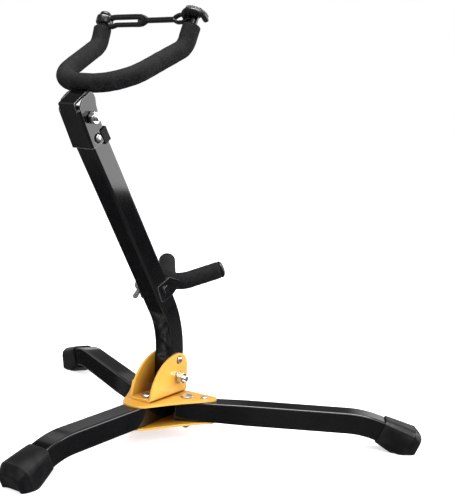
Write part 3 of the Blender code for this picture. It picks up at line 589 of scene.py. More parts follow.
def thread(radius, start, end, pitch=0.9 * MM):
    """Profile points of a screw thread from z = start up to z = end."""
    points = [(0.82 * radius, start)]
    turns = max(1, int((end - start) / pitch))
    for i in range(turns):
        z = start + 0.3 * MM + i * (end - start - 0.3 * MM) / turns
        points += [(radius, z + 0.25 * pitch), (0.88 * radius, z + 0.75 * pitch)]
    points.append((radius, end))
    return points


def outward(point, side, distance):
    """Frame at a distance to one side of a point, with its z axis pointing further that way."""
    turn = ALONG_X if side > 0 else ALONG_X.inverted()
    return move(point + SIDE * side * distance) @ turn


def screw(name, matrix, reach, body, node, head=5.5 * MM, thickness=3 * MM,
          thread_length=6 * MM, recess=True):
    """Pan-head screw with a cross recess; its head stands above z = 0."""
    profile = thread(BOLT / 2, -reach, -reach + thread_length)
    profile += [(BOLT / 2, -0.1 * MM), (head - 0.4 * MM, 0), (head, 0.3 * MM), (head, 0.35 * thickness)]
    for k in range(1, 8):
        a = radians(90 * k / 8)
        profile.append((head * cos(a) ** 0.8, thickness * (0.35 + 0.65 * sin(a))))
    profile.append((0.2 * MM, thickness))
    obj = object_from(name, turned(profile, matrix))
    if recess:
        for turn in (0, 90):
            spin = matrix @ rotation(turn + 20)
            floor = thickness - 1.3 * MM
            cut(obj, block((-2.4 * MM, -0.45 * MM, floor), (2.4 * MM, 0.45 * MM, 9 * MM), spin))
    return finish_piece(obj, "steel", body, node, sharp=30)


def nut(name, matrix, body, node, width=10 * MM, height=5 * MM, turn=0.0):
    """Hexagonal nut with chamfered corners on both faces."""
    spin = matrix @ rotation(turn)
    corner = width / 2 / cos(pi / 6)
    obj = object_from(name, prism(circle(corner, 6), 0, height, spin))
    rim = width / 2 - 0.1 * MM
    belly = corner + 0.1 * MM
    chamfer = [(rim, 0), (belly, 0.7 * MM), (belly, height - 0.7 * MM), (rim, height)]
    cut(obj, turned(chamfer, spin, 48), "INTERSECT")
    bore = BOLT / 2 + 0.25 * MM
    cut(obj, turned([(bore, -1 * MM), (bore, height + 1 * MM)], spin))
    soften(obj, 0.12 * MM, 2, 25)
    return finish_piece(obj, "steel", body, node, sharp=30)


def washer(name, matrix, radius, body, node):
    obj = object_from(name, ring_solid(radius, 3.3 * MM, 0, 1 * MM, matrix))
    return soft_piece(obj, 0.2 * MM, 2, "steel", body, node)


def button(name, matrix, base, reach, body, node):
    """Lock button with a domed end."""
    profile = [(4.6 * MM, base - 1 * MM), (4.6 * MM, base), (BUTTON, base + 0.05 * MM),
               (BUTTON, reach - 1.5 * MM)]
    for k in range(1, 8):
        a = radians(90 * k / 8)
        profile.append((BUTTON * cos(a) ** 0.7, reach - 1.5 * MM + 1.5 * MM * sin(a)))
    obj = finish_piece(object_from(name, turned(profile, matrix)), "steel", body, node, sharp=50)
    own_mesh(obj)


# ---------------------------------------------------------------- hub

def leg_frame(side):
    if side == 0:
        return move((0, REAR_LEG_START, 0)) @ Matrix.Rotation(pi / 2, 4, "Z")
    heading = atan2(-cos(LEG_ANGLE), side * sin(LEG_ANGLE))
    place = Vector((side * LEG_PIVOT.x, LEG_PIVOT.y, 0))
    return move(place) @ Matrix.Rotation(heading, 4, "Z")


def leg_spot(side, distance, z=0.0):
    return leg_frame(side) @ Vector((distance, 0, z))


REAR_BOLT_Y = HUB_Y + 34 * MM
FRONT_BOLT_Y = HUB_Y - 8 * MM


def lobed_outline():
    """The hub plate: three round lobes joined by slightly hollow sides."""
    rear, rear_radius = Vector((0, 43.5 * MM)), 17.5 * MM
    front, front_radius = Vector((44 * MM, -10.5 * MM)), 8 * MM
    hollow = 2 * MM

    def between(start, end):
        run = end - start
        inward = Vector((-run.y, run.x)).normalized() * hollow
        return [start + run * t / 14 + inward * sin(pi * t / 14) for t in range(1, 14)]

    lobes = [
        [Vector(p) for p in arc(rear, rear_radius, 27, 153, 32)],
        [Vector(p) for p in arc((-front.x, front.y), front_radius, 153, 268, 20)],
        [Vector(p) for p in arc(front, front_radius, -88, 27, 20)],
    ]
    outline = []
    for lobe, following in zip(lobes, lobes[1:] + lobes[:1]):
        outline += lobe + between(lobe[-1], following[0])
    return [(p.x, p.y + HUB_Y) for p in outline]


def make_plate(name, low, lock_holes):
    plate = object_from(name + "_painted", prism(lobed_outline(), low, low + PLATE))
    holes = [(leg_spot(side, 0, low), UP, BOLT_HOLE, 5 * MM) for side in (-1, 1)]
    holes += [(Vector((0, y, low)), UP, BOLT_HOLE, 5 * MM) for y in (REAR_BOLT_Y, FRONT_BOLT_Y)]
    if lock_holes:
        holes += [(leg_spot(side, LEG_LOCK, low), UP, BUTTON_HOLE, 5 * MM) for side in (-1, 1)]
    drill(plate, holes)
    soft_piece(plate, 0.55 * MM, 4, "hub_enamel", "hub", name)


def make_tower():
    """Channel folded with a real bend radius, then trimmed to the ears' outline."""
    front, rear, top = -15 * MM, 44.5 * MM, 80.5 * MM
    big, small = 44 * MM, 15 * MM
    crown = rear - big
    bend = 3 * MM
    inner = bend - SHEET
    low = TOWER_LOW
    profile = [(-EAR_OUTER, 90 * MM)]
    profile += arc((-EAR_OUTER + bend, low + bend), bend, 180, 270, 8)
    profile += arc((EAR_OUTER - bend, low + bend), bend, 270, 360, 8)
    profile += [(EAR_OUTER, 90 * MM), (EAR_INNER, 90 * MM)]
    profile += arc((EAR_INNER - inner, TOWER_FLOOR + inner), inner, 0, -90, 5)
    profile += arc((-EAR_INNER + inner, TOWER_FLOOR + inner), inner, 270, 180, 5)
    profile += [(-EAR_INNER, 90 * MM)]
    tower = object_from("tower_bracket_painted",
                        prism(profile, HUB_Y - 40 * MM, HUB_Y + 70 * MM, FRONT_PROFILE))
    low_angle = degrees(asin((low - (top - big)) / big))
    outline = arc((crown, top - big), big, low_angle, 90, 48)
    outline += arc((crown, top - small), small, 90, 180, 24)
    outline += arc((front + 3.5 * MM, low + 3.5 * MM), 3.5 * MM, 180, 262, 8)
    outline[-1] = (outline[-1][0], low - 1 * MM)
    outline[0] = (outline[0][0], low - 1 * MM)
    cut(tower, prism(outline, -30 * MM, 30 * MM, HUB_FRAME @ SIDE_PROFILE), "INTERSECT")
    drill(tower, [
        (UPRIGHT_PIVOT, SIDE, BOLT_HOLE, 20 * MM),
        (HUB + UP * UPRIGHT_LOCK_Z, SIDE, BUTTON + 1.0 * MM, 20 * MM),
        (Vector((0, REAR_BOLT_Y, low)), UP, BOLT_HOLE, 4 * MM),
        (Vector((0, FRONT_BOLT_Y, low)), UP, 4.6 * MM, 4 * MM),
    ])
    soft_piece(tower, 0.5 * MM, 4, "hub_enamel", "hub", "tower_bracket")


def make_hub_fasteners():
    reach = TOP_PLATE_HIGH - NUT_LOW + 2 * MM
    for side, name in ((-1, "left"), (1, "right")):
        spot = leg_spot(side, 0)
        place = move(spot + UP * (TOP_PLATE_HIGH + GAP))
        screw(f"{name}_leg_pivot_screw", place, reach, "hub", f"{name}_leg_pivot_bolt",
              6.2 * MM, 1.7 * MM, 5 * MM, False)
        nut(f"{name}_leg_pivot_hexnut", move(spot + UP * NUT_LOW), "hub",
            f"{name}_leg_pivot_nut", turn=12)
    reach = TOWER_FLOOR - NUT_LOW + 2 * MM
    place = move((0, REAR_BOLT_Y, TOWER_FLOOR + GAP))
    screw("tower_rear_screw", place, reach, "hub", "tower_rear_bolt")
    place = move((0, FRONT_BOLT_Y, TOWER_FLOOR - 1 * MM))
    screw("tower_front_screw", place, reach - 0.7 * MM, "hub", "tower_front_bolt",
          4.4 * MM, 1.2 * MM, recess=False)
    for name, y, turn in (("tower_rear", REAR_BOLT_Y, 0), ("tower_front", FRONT_BOLT_Y, 20)):
        nut(f"{name}_hexnut", move((0, y, NUT_LOW)), "hub", f"{name}_nut", turn=turn)
    right = outward(UPRIGHT_PIVOT, 1, EAR_OUTER + GAP)
    left = outward(UPRIGHT_PIVOT, -1, EAR_OUTER + GAP)
    screw("upright_pivot_screw", right, 2 * EAR_OUTER + 10.9 * MM, "hub", "upright_pivot_bolt")
    washer("upright_pivot_flat_washer", left, 6 * MM, "hub", "upright_pivot_washer")
    nut("upright_pivot_hexnut", left @ move((0, 0, 1.3 * MM)), "hub",
        "upright_pivot_nut", turn=8)


# ---------------------------------------------------------------- tubes and feet

def tube_shell(name, path, start_side, outside, inside):
    outer = path_rings(path, outside, start_side)
    inner = path_rings(path, inside, start_side)
    return object_from(name, skin(outer + inner[::-1], closed=True))


def leg_path(straight):
    middle = LEG_BOTTOM + TUBE / 2
    path = [Vector((-LEG_INNER + 0.05 * MM, 0, middle)), Vector((-LEG_INNER + 1 * MM, 0, middle))]
    path += [Vector((x * 10 * MM, 0, middle)) for x in range(0, 16)]
    for i in range(31):
        a = LEG_BEND * i / 30
        path.append(Vector((straight + LEG_BEND_RADIUS * sin(a), 0,
                            middle - LEG_BEND_RADIUS * (1 - cos(a)))))
    tail = Vector((cos(LEG_BEND), 0, -sin(LEG_BEND)))
    path.append(path[-1] + tail * LEG_TAIL)
    return path, tail


def make_leg(side, name, body):
    frame_of_leg = leg_frame(side)
    path, tail = leg_path(SIDE_LEG_STRAIGHT if side else REAR_LEG_STRAIGHT)
    first = len(path) - 32

    def squeeze(i):
        """The bend is pressed a little flat and wide, most at its middle."""
        t = (i - first) / 30
        return sin(pi * t) if 0 < t < 1 else 0.0

    def outside(i):
        s = squeeze(i)
        away = min(1.0, max(0.0, (path[i].x - 30 * MM) / (30 * MM)))
        points = square_section(TUBE + 1.1 * MM * away, TUBE_CORNER, 6, 5)
        rippled = []
        for x, y in points:
            sunk = 0.5 * MM * s * max(0.0, 1 - (y / (TUBE / 2)) ** 2)
            rippled.append((x - sunk if x > 0 else x, y))
        return rippled

    def inside(i):
        return square_section(TUBE - 2 * WALL, 0.5 * MM, 6, 5)

    world = [frame_of_leg @ p for p in path]
    leg = tube_shell(name + "_leg_painted", world, -UP, outside, inside)
    finish_piece(leg, "black_enamel", body, name + "_leg", sharp=45)
    make_foot(name, frame_of_leg, path[-1], tail, body)


def make_foot(name, frame_of_leg, tube_end, tail, body):
    """Rubber cap: lip round the tube, widening body, crease, chamfered end, flat on the ground."""
    axis = (frame_of_leg.to_3x3() @ tail).normalized()
    across = frame_of_leg.to_3x3() @ ACROSS
    up = axis.cross(across)
    start = frame_of_leg @ (tube_end - tail * (LEG_TAIL + FOOT_BACK))
    place = move(start) @ Matrix((across, up, axis)).transposed().to_4x4()
    shoulder = FOOT_REACH - 9 * MM
    # Each row is (distance along the foot, width, corner radius)
    rows = mm((2.5, 21.5, 2.4), (0.4, 21.6, 2.5), (0.05, 22.2, 3.2), (0, 24.4, 5), (0.35, 25.4, 6),
              (1, 25.9, 6.4), (2.6, 26.4, 6.8))
    for k in range(1, 11):
        t = k / 10
        along = 2.6 * MM + (shoulder - 3.6 * MM) * t
        rows.append((along, (26.4 + 6.6 * t ** 0.9) * MM, (6.8 + 2 * t) * MM))
    nose = mm((-0.5, 33.3, 9), (0, 33.1, 9), (0.6, 32.3, 8.8), (3, 30.3, 8.4), (6, 27.7, 7.8),
              (7.4, 26, 7.4), (8.3, 25, 7), (8.85, 23, 6.5), (9, 20, 5.5))
    rows += [(shoulder + past, width, corner) for past, width, corner in nose]
    rings = []
    for z, width, corner in rows:
        ring = [place @ Vector((x, y, z)) for x, y in square_section(width, corner, 3, 1)]
        rings.append([Vector((p.x, p.y, max(p.z, 0.0))) for p in ring])
    bm = skin(rings)
    bmesh.ops.triangulate(bm, faces=[f for f in bm.faces if len(f.verts) > 4])
    piece(name + "_rubber_foot", bm, "foot_rubber", body, name + "_foot", sharp=24)


def make_leg_lock(side, name):
    spot = leg_frame(side) @ move((LEG_LOCK, 0, 0))
    top = LEG_TOP - WALL
    button(name + "_leg_button", spot, top - 0.3 * MM, TOP_PLATE_HIGH + 1.9 * MM,
           name + "_leg_button", name + "_leg_lock_button")


# ---------------------------------------------------------------- upright

def make_upright():
    steps = 48
    heights = (UPRIGHT_FOOT, UPRIGHT_FOOT + 1 * MM, BEND_START_Z - 8 * MM)
    path = [HUB + UP * height for height in heights]
    first = len(path)
    for i in range(steps + 1):
        a = LEAN * i / steps
        path.append(BEND_CENTRE - BEND_RADIUS * Vector((0, cos(a), -sin(a))))
    last = len(path) - 1
    for k in range(1, 12):
        path.append(BEND_END + TUBE_UP * (HEAD_DISTANCE + 10 * MM) * k / 11)

    def depth(i):
        """The bend's inner face is pressed in: sharply at its upper end, gently at its lower end."""
        t = (i - first) / (last - first)
        if t <= 0 or t >= 0.93:
            return 0.0
        fall = min(1.0, (0.93 - t) / 0.05)
        fall = fall * fall * (3 - 2 * fall)
        return DENT * sin(pi * min(1.0, t / 0.93)) ** 0.7 * fall

    def pressed(points, i, half):
        d = depth(i)
        result = []
        for x, y in points:
            if x > 0 and d > 0:
                trough = max(0.0, 1 - (y / half) ** 2)
                groove = 0.22 * MM * sin(7.5 * pi * y / half + 2 * sin(i * 0.21))
                shift = 0.3 * d + 0.7 * d * trough + groove * trough * min(1.0, d / (2 * MM))
                x = x - shift * min(1.0, x / (0.7 * half))
            result.append((x, y * (1 + 0.02 * d / DENT)))
        return result

    def outside(i):
        width = TUBE + (0.6 if i < first else 1.1) * MM
        return pressed(square_section(width, TUBE_CORNER, 6, 13), i, TUBE / 2)

    def inside(i):
        return pressed(square_section(TUBE - 2 * WALL, 0.5 * MM, 6, 13), i, TUBE / 2)

    tube = tube_shell("upright_tube_painted", path, ACROSS, outside, inside)
    inner, outer = 9.9 * MM, 14 * MM
    crown = [(-inner, 0), *arc((0, 0), inner, 180, 0, 28)[1:-1], (inner, 0), (outer, 0), (outer, outer),
             (-outer, outer), (-outer, 0)]
    cut(tube, prism(crown, -20 * MM, 20 * MM, HEAD_SIDE))
    drill(tube, [(HUB + UP * UPRIGHT_LOCK_Z, SIDE, BUTTON_HOLE, 20 * MM),
                 (HEAD_LOCK_FRAME.translation, SIDE, BUTTON_HOLE, 20 * MM)])
    finish_piece(tube, "black_enamel", "upright_body", "upright_tube", sharp=40)


def make_side_locks():
    base = TUBE / 2 - WALL - 0.3 * MM
    foot_lock = HUB_FRAME @ move((0, 0, UPRIGHT_LOCK_Z))
    for prefix, place, reach, joint in (
            ("upright", foot_lock, EAR_OUTER + 2.4 * MM, "upright_fold"),
            ("head", HEAD_LOCK_FRAME, TUBE / 2 + 4.4 * MM, "head_fold")):
        for side, name in ((-1, "left"), (1, "right")):
            turn = place @ rotation(90 * side, "Y")
            button(f"{prefix}_button_{name}_dome", turn, base, reach,
                   f"{prefix}_button_{name}", f"{prefix}_lock_button_{name}")


# ---------------------------------------------------------------- head

HEAD_WALL = TUBE / 2 + 0.6 * MM
HEAD_OUTER = HEAD_WALL + SHEET
CHANNEL_INNER = 10.7 * MM
CHANNEL_SHEET = 1.5 * MM
CHANNEL_OUTER = CHANNEL_INNER + CHANNEL_SHEET
FLANGE_TOP = 19.8 * MM
FLANGE_LOW = FLANGE_TOP - SHEET
FLANGE_HALF = 9 * MM
FLANGE_FRONT = -16.1 * MM
WALL_FOOT = Vector((13.0, -23)) * MM
WALL_TOP = Vector((10.1, 17.6)) * MM


def wall_point(height, depth=0.0):
    t = (height - WALL_FOOT.y) / (WALL_TOP.y - WALL_FOOT.y)
    return (WALL_FOOT.x + (WALL_TOP.x - WALL_FOOT.x) * t - depth, height)


def make_head_bracket():
    """Channel with rounded rear bends, trimmed to the cheeks; its flange is bent over on top."""
    bend = 2.4 * MM
    inner = bend - CHANNEL_SHEET
    rings = []
    for height in (-32 * MM, 24 * MM):
        back = wall_point(height)[0]
        profile = [(-CHANNEL_OUTER, -20 * MM)]
        profile += arc((-CHANNEL_OUTER + bend, back - bend), bend, 180, 90, 10)
        profile += arc((CHANNEL_OUTER - bend, back - bend), bend, 90, 0, 10)
        profile += [(CHANNEL_OUTER, -20 * MM), (CHANNEL_INNER, -20 * MM)]
        profile += arc((CHANNEL_INNER - inner, back - CHANNEL_SHEET - inner), inner, 0, 90, 5)
        profile += arc((-CHANNEL_INNER + inner, back - CHANNEL_SHEET - inner), inner, 90, 180, 5)
        profile += [(-CHANNEL_INNER, -20 * MM)]
        rings.append([HEAD_FRAME @ Vector((x, y, height)) for x, y in profile])
    channel = object_from("head_bracket_painted", skin(rings))
    outline = [wall_point(-23 * MM, -3 * MM), wall_point(12.4 * MM, -3 * MM),
               wall_point(12.4 * MM, 1 * MM)]
    outline += mm(
        (7.6, 14.2), (5, 16.8), (2, 18.5), (-2, 19.2), (-8.2, 19.4), (-10.6, 18.9), (-12.2, 17),
        (-13, 14.5), (-13, 12), (-12, 9), (-10.7, 6), (-9.8, 2), (-9.2, -1.6), (-7.6, -14.3),
        (-2.2, -14.3), (-2.2, -26.6), (11.4, -24.7))
    cut(channel, prism(outline, -20 * MM, 20 * MM, HEAD_SIDE), "INTERSECT")
    drill(channel, [(HEAD_PIVOT, SIDE, BOLT_HOLE, 20 * MM),
                    (HEAD_LOCK_FRAME.translation, SIDE, BUTTON + 1.6 * MM, 20 * MM)])
    soft_piece(channel, 0.4 * MM, 4, "black_sheet", "head_body", "head_bracket")

    proud = 0.02 * MM
    tab = [wall_point(5 * MM, 0.4 * MM), wall_point(9 * MM, -proud), wall_point(17.6 * MM, -proud)]
    tab += arc((8.6 * MM, FLANGE_TOP - 1.6 * MM), 1.6 * MM, 4, 90, 12)
    tab += [(FLANGE_FRONT, FLANGE_TOP), (FLANGE_FRONT, FLANGE_LOW)]
    tab += [(7.6 * MM, FLANGE_LOW), wall_point(16 * MM, SHEET), wall_point(5 * MM, CHANNEL_SHEET)]
    flange = object_from("head_flange", prism(tab, -FLANGE_HALF, FLANGE_HALF, HEAD_SIDE))
    soft_piece(flange, 0.45 * MM, 4, "black_sheet", "head_body")


def make_stop_block():
    inner, outer = TUBE / 2 + 0.3 * MM, HEAD_OUTER - 0.2 * MM
    front = -TUBE / 2 - 1.3 * MM
    outline = [(-outer, -3 * MM), (-outer, front), (outer, front), (outer, -3 * MM),
               (inner, -3 * MM), (inner, -inner), (-inner, -inner), (-inner, -3 * MM)]
    block_piece = object_from("head_stop_moulding", prism(outline, -30 * MM, -16.2 * MM, HEAD_FRAME))
    soft_piece(block_piece, 0.35 * MM, 3, "matte_moulding", "upright_body", "head_stop_block")


def make_head_pivot():
    outer = HEAD_OUTER + GAP
    screw("head_pivot_screw", outward(HEAD_PIVOT, 1, outer), 2 * outer + 8.5 * MM, "upright_body",
          "head_pivot_bolt")
    nut("head_pivot_hexnut", outward(HEAD_PIVOT, -1, outer), "upright_body", "head_pivot_nut",
        turn=22)


def make_foam(name, path, diameter, body, slit, node):
    """Foam sleeve: rolled-in ends, a slightly lumpy skin, and creases inside its bends."""
    sides = 44
    path = respace(path, 1.1 * MM)
    frames = path_frames(path, UP)
    count = len(path)
    rings, inside = [], []
    for i, (point, side, up, _) in enumerate(frames):
        before = frames[max(i - 3, 0)][3]
        after = frames[min(i + 3, count - 1)][3]
        turn = after - before
        curve = turn.length / 6.6
        inward = turn.normalized() if turn.length > 1e-4 else Vector()
        from_end = min(i, count - 1 - i) * 1.1 * MM
        lip = 1 - 0.16 * max(0.0, 1 - from_end / (1.6 * MM)) ** 2
        ring = []
        for k in range(sides):
            a = 2 * pi * k / sides
            out = side * cos(a) + up * sin(a)
            radius = diameter / 2 * lip
            radius += 0.16 * MM * noise.noise((point + out * radius) * 160)
            inner_side = max(0.0, out.dot(inward))
            radius -= 7.5 * MM * min(curve, 0.05) * inner_side ** 2 * (0.5 + 0.5 * sin(i * 1.5))
            ring.append(point + out * radius)
        rings.append(ring)
        inside.append([point + side * x + up * y for x, y in circle(ROD / 2 + 0.15 * MM, sides)])
    foam = object_from(name, skin(rings + inside[::-1], closed=True))
    cut(foam, slit)
    finish_piece(foam, "foam_cover", body, node, sharp=60)


def bent_rod(corners, radii):
    """Centre line of a rod that is the same on both sides; the corners are those on the right."""
    last = corners[-1]
    half = fillet_path([*corners, Vector((-last.x, *last.yz))], radii, 24)[:-1]
    left = [Vector((-p.x, p.y, p.z)) for p in half]
    return [p + HUB for p in left + list(reversed(half))]


def end_caps(line, beyond, cap, body, piece_name, node_name):
    """A turned cap on each end of a rod's line."""
    for end, before, name in ((line[0], line[1], "left"), (line[-1], line[-2], "right")):
        direction = (end - before).normalized()
        place = axis_matrix(end + direction * beyond, direction)
        piece(f"{piece_name}_{name}", turned(cap, place), "moulded_plastic", body, f"{node_name}_{name}")


def make_yoke():
    line = bent_rod([YOKE_TIP, YOKE_ELBOW, YOKE_CORNER], [17 * MM, 37 * MM])
    ahead = (line[0] - line[1]).normalized()
    behind = (line[-1] - line[-2]).normalized()
    stretched = [line[0] + ahead * POST, *line, line[-1] + behind * POST]
    bm = skin(path_rings(stretched, lambda i: circle(ROD / 2, 28), UP))
    piece("yoke_rod_painted", bm, "black_enamel", "head_body", "yoke_rod")
    low, high = FLANGE_LOW - 0.3 * MM, FLANGE_TOP + 0.3 * MM
    slit = [(0, low), (-17.2 * MM, low), (-17.2 * MM, high), (0, high)]
    half = FLANGE_HALF + 0.2 * MM
    make_foam("yoke_foam_sleeve", [line[0] + ahead * 3 * MM, *line], FOAM, "head_body",
              prism(slit, -half, half, HEAD_SIDE), "yoke_foam")
    cap = mm((2.8, 0), (4.6, 0.1), (5, 0.3), (5.35, 0.9), (5.4, 1.6), (5.2, 2.4), (4.6, 3.2),
             (3.6, 3.8), (2.2, 4.15), (0.6, 4.2))
    end_caps(line, POST + GAP, cap, "head_body", "yoke_post_cap", "yoke_tip_cap")


# ---------------------------------------------------------------- strap

def make_strap():
    """Moulded strap: eye, slotted link, bar, and a hook with grip ribs."""
    lean = atan2(YOKE_ELBOW.y - YOKE_TIP.y, YOKE_TIP.z - YOKE_ELBOW.z)
    up = Vector((0, -sin(lean), cos(lean)))
    across = Vector((-1, 0, 0))
    turn = Matrix((across, up.cross(across), up)).transposed().to_4x4()
    droop = rotation(-1.2, "Y")
    place = move(YOKE_TIP + HUB + up * STRAP_RISE) @ turn @ droop
    far = (2 * YOKE_TIP.x + 1 * MM) / MM

    def sweep(points, width, height):
        path = respace([place @ (Vector(p) * MM) for p in points], 1.2 * MM)
        forward = place.to_3x3() @ ACROSS
        section = [(copysign(abs(x) ** 0.7, x) * width / 2,
                    copysign(abs(y) ** 0.7, y) * height / 2) for x, y in circle(1, 16)]
        return skin(path_rings(path, lambda i: section, forward))

    def loop(centre, radius, start, end, width, height, lift=0.0, tilt=0.0):
        turns = [radians(start + (end - start) * k / 32) for k in range(33)]
        return sweep([(centre + radius * cos(a), radius * sin(a), lift - tilt * sin(a))
                      for a in turns], width, height)

    eye = loop(0, 6.25, 0, 372, 3.9 * MM, 8.6 * MM, 0.6)
    collar = ring_solid(5.6 * MM, 4.45 * MM, -4.9 * MM, -2.5 * MM, place, 32)
    link_top = [(5.5, 0, 1.5), (8, 0, 3.3), (12, 0, 3.9), (36, 0, 4.1), (43, 0, 3.9), (47.5, 0, 2.4),
                (50.5, 0, 0.4)]
    link_low = [(5.5, 0, -1), (7, 0, -4.2), (9.5, 0, -5.9), (12.5, 0, -5), (16, 0, -3.8), (36, 0, -3.7),
                (42, 0, -3.8), (46, 0, -3.2), (49, 0, -1.2), (50.5, 0, 0.4)]
    parts = [eye, collar, sweep(link_top, 5.0 * MM, 4.9 * MM), sweep(link_low, 5.0 * MM, 4.1 * MM),
             sweep([(41, 0, 0.3), (50, 0, 0.2)], 4.4 * MM, 5.2 * MM),
             sweep([(48, 0, 0.2), (82, 0, 0.6)], 5.0 * MM, 4.9 * MM)]
    for high in (4.4, -3.0):
        fork = [(80, 0, 0.6), (82.5, 0, 0.6 + 0.6 * high), (86, 0, 0.6 + high), (91, 0, 0.9 + high),
                (94.5, 0, 1 + 0.7 * high), (97, 0, 1.2)]
        parts.append(sweep(fork, 4.8 * MM, 3.2 * MM))
    hook, lift, tilt = far + 0.6, 3.2, 2.4
    parts.append(loop(hook, 9.0, -204, 22, 5.4 * MM, 9.2 * MM, lift, tilt))
    for k in range(16):
        a = radians(-112 + 8.6 * k)
        centre = move(Vector((hook, 0, lift - tilt * sin(a))) * MM)
        rib = place @ centre @ Matrix.Rotation(a, 4, "Z")
        parts.append(block(*mm((10.3, -0.45, -2.9), (12.0, 0.45, 2.9)), rib))
    remesh("safety_strap_moulding", parts, 0.36 * MM, 2, "moulded_plastic", "strap_body", "safety_strap")


# ---------------------------------------------------------------- lower rest

REST_CHEEK = mm((7.7, 8.7), (-12.9, 4.2), (-26.2, -13.4), (-7.7, -14.5), (9.6, -9.8))


def make_rest():
    outer = HEAD_OUTER
    cheek = round_corners(REST_CHEEK, [3 * MM, 4 * MM, 2.5 * MM, 4 * MM, 3 * MM], 6)
    bracket = object_from("rest_bracket_painted", prism(cheek, -outer, outer, REST_SIDE))
    nose = Vector(REST_CHEEK[2])
    along = (nose - Vector(REST_CHEEK[1])).normalized()
    inward = Vector((-along.y, along.x))
    web = nose - along * 8.5 * MM
    hollow = [(20 * MM, -22 * MM), (20 * MM, 20 * MM), tuple(web - inward * 8 * MM), tuple(web),
              tuple(web + inward * SHEET), tuple(nose + inward * SHEET + along * 6 * MM)]
    cut(bracket, prism(hollow, -HEAD_WALL, HEAD_WALL, REST_SIDE))
    soft_piece(bracket, 0.55 * MM, 4, "black_sheet", "rest_body", "rest_bracket")

    line = bent_rod([REST_TIP, REST_CORNER], [18 * MM])
    rod = skin(path_rings(line, lambda i: circle(ROD / 2, 24), UP))
    piece("rest_rod_painted", rod, "black_enamel", "rest_body", "rest_rod")
    centre = sum((Vector(p) for p in REST_CHEEK), Vector((0, 0))) / 5
    grown = [tuple(centre + (Vector(p) - centre) * 1.02) for p in cheek]
    make_foam("rest_foam_sleeve", line, REST_FOAM, "rest_body",
              prism(grown, -outer - 0.15 * MM, outer + 0.15 * MM, REST_SIDE), "rest_foam")
    cap = mm((7.6, 0), (8.3, 0.15), (8.5, 0.6), (8.5, 1.1), (8.2, 1.8), (7.4, 2.7), (6, 3.4),
             (4, 3.75), (1, 3.8))
    end_caps(line, 0.25 * MM, cap, "rest_body", "rest_plug", "rest_end_cap")


def make_rest_pivot():
    outer = HEAD_OUTER + GAP
    left = outward(REST_PIVOT, -1, outer)
    right = outward(REST_PIVOT, 1, outer)
    reach = 2 * outer + 9 * MM
    shank = thread(BOLT / 2, -reach, -2 * outer) + [(BOLT / 2, 0), (0.1 * MM, 0)]
    piece("rest_pivot_screw", turned(shank, left), "steel", "upright_body", "rest_pivot_bolt", sharp=30)
    square = block(*mm((-2.9, -2.9, -0.05), (2.9, 2.9, 2.1)), left @ rotation(30))
    soft_piece(object_from("rest_pivot_head", square), 0.5 * MM, 3, "black_sheet", "upright_body")
    washer("rest_pivot_flat_washer", right, 6.5 * MM, "upright_body", "rest_pivot_washer")
    seat = right @ move((0, 0, 1.3 * MM))
    parts = [ring_solid(4.9 * MM, BOLT / 2 + 0.3 * MM, 0, 5.8 * MM, seat, 32)]
    wing = mm((3.9, 0.8), (13.6, 5.2), (14.8, 7), (14.6, 9.2), (12.6, 10), (10.6, 9.4), (3.9, 4.9))
    for turn in (0, 180):
        spin = seat @ rotation(turn + 4) @ ON_EDGE
        parts.append(prism(round_corners(wing, 1.6 * MM), -1.3 * MM, 1.3 * MM, spin))
    remesh("rest_wing_nut_cast", parts, 0.35 * MM, 3, "steel", "upright_body", "rest_wing_nut")


# ---------------------------------------------------------------- stage

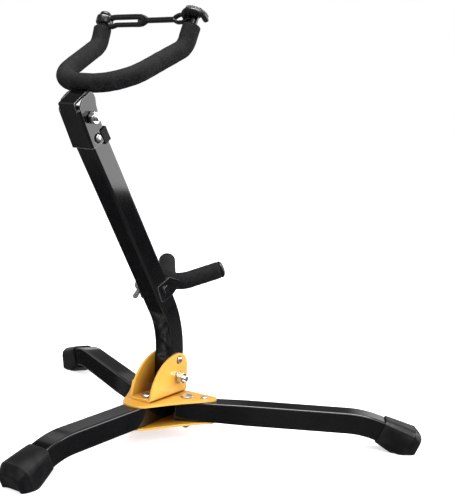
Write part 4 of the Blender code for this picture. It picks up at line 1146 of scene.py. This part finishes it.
def make_stage():
    scene = bpy.context.scene
    scene.view_settings.view_transform = "Standard"
    floor_bm = bmesh.new()
    bmesh.ops.create_grid(floor_bm, x_segments=1, y_segments=1, size=6)
    floor = object_from("floor", floor_bm)
    floor_material, _, floor_shader = node_material("pale_floor", grey(0.95), 0.9,
                                                    Specular_IOR_Level=0.1)
    put(floor_shader, Emission_Color=(1, 1, 1, 1), Emission_Strength=0.58)
    floor.data.materials.append(floor_material)
    floor.location.z = -0.0003
    floor.visible_glossy = False

    world = bpy.data.worlds.new("studio")
    scene.world = world
    world.use_nodes = True
    tree = world.node_tree
    background = tree.nodes["Background"]
    place = tree.nodes.new("ShaderNodeTexCoord")
    split = tree.nodes.new("ShaderNodeSeparateXYZ")
    tree.links.new(place.outputs["Generated"], split.inputs["Vector"])
    room = ramp(tree, map_range(tree, split.outputs["Z"], -0.3, 0.5, 0, 1),
                [(0.0, grey(0.13)), (0.33, grey(0.18)), (0.42, grey(0.28)), (0.62, grey(0.46)),
                 (1.0, grey(0.36))])
    patches = tree.nodes.new("ShaderNodeTexNoise")
    put(patches, Scale=3.2)
    tree.links.new(place.outputs["Generated"], patches.inputs["Vector"])
    uneven = ramp(tree, patches.outputs["Fac"], [(0.4, grey(0.2)), (0.62, grey(2.4))])
    dim = tree.nodes.new("ShaderNodeMix")
    dim.data_type = "RGBA"
    dim.blend_type = "MULTIPLY"
    put(dim, Factor=1.0)
    tree.links.new(room, dim.inputs["A"])
    tree.links.new(uneven, dim.inputs["B"])
    room = dim.outputs["Result"]
    light_path = tree.nodes.new("ShaderNodeLightPath")
    lit = mix_colour(tree, light_path.outputs["Is Diffuse Ray"], room, grey(0.6))
    seen = mix_colour(tree, light_path.outputs["Is Camera Ray"], lit, grey(1))
    tree.links.new(seen, background.inputs["Color"])

    def softbox(name, place_of, aim, size, power, diffuse=True):
        """A light panel that faces the z axis at the height aim."""
        light = bpy.data.lights.new(name, "AREA")
        light.shape = "RECTANGLE"
        light.size, light.size_y = size
        light.energy = power
        lamp = add_object(name, light)
        lamp.location = place_of
        lamp.rotation_euler = (UP * aim - Vector(place_of)).to_track_quat("-Z", "Y").to_euler()
        lamp.visible_diffuse = diffuse

    softbox("overhead", (-0.2, 0.2, 1.9), 0, (2.2, 2.2), 38)
    softbox("edge_strip", (-0.3, 0.35, 1.8), 0, (1.6, 0.6), 60, False)
    softbox("camera_side", (-1.5, 1.1, 1.1), 0.15, (0.9, 0.9), 10)
    softbox("front_wall", (-0.95, -1.35, 0.68), 0.6, (1.3, 1.2), 19)


def make_camera():
    azimuth, elevation, roll = [radians(a) for a in (213.07, 8.81, 3.01)]
    level = Vector((sin(azimuth), -cos(azimuth), 0))
    back = level * cos(elevation) + UP * sin(elevation)
    right = UP.cross(back).normalized()
    up = back.cross(right)
    columns = (right * cos(roll) + up * sin(roll), up * cos(roll) - right * sin(roll), back)
    camera = add_object("camera", bpy.data.cameras.new("camera"))
    camera.data.lens = 72
    camera.data.sensor_width = 36
    matrix = Matrix(columns).transposed().to_4x4()
    matrix.translation = (-0.5809, 0.7942 + HUB_Y, 0.3391)
    camera.matrix_world = matrix
    bpy.context.scene.camera = camera


# ---------------------------------------------------------------- the whole scene

make_camera()
make_stage()
for entry in frame["record"]["subparts"]:
    carried = NODES[entry["node"]]
    carried.data.materials.clear()
    carried.data.materials.append(MATERIALS[entry["material_slot"]])

make_plate("top_plate", TOP_PLATE_LOW, True)
make_plate("bottom_plate", BOTTOM_PLATE_LOW, False)
make_tower()
make_hub_fasteners()
make_leg(0, "rear", "hub")
for leg_side, leg_name in ((-1, "left"), (1, "right")):
    make_leg(leg_side, leg_name, leg_name + "_leg_body")
    make_leg_lock(leg_side, leg_name)
make_upright()
make_side_locks()
make_head_bracket()
make_stop_block()
make_head_pivot()
make_yoke()
make_strap()
make_rest()
make_rest_pivot()
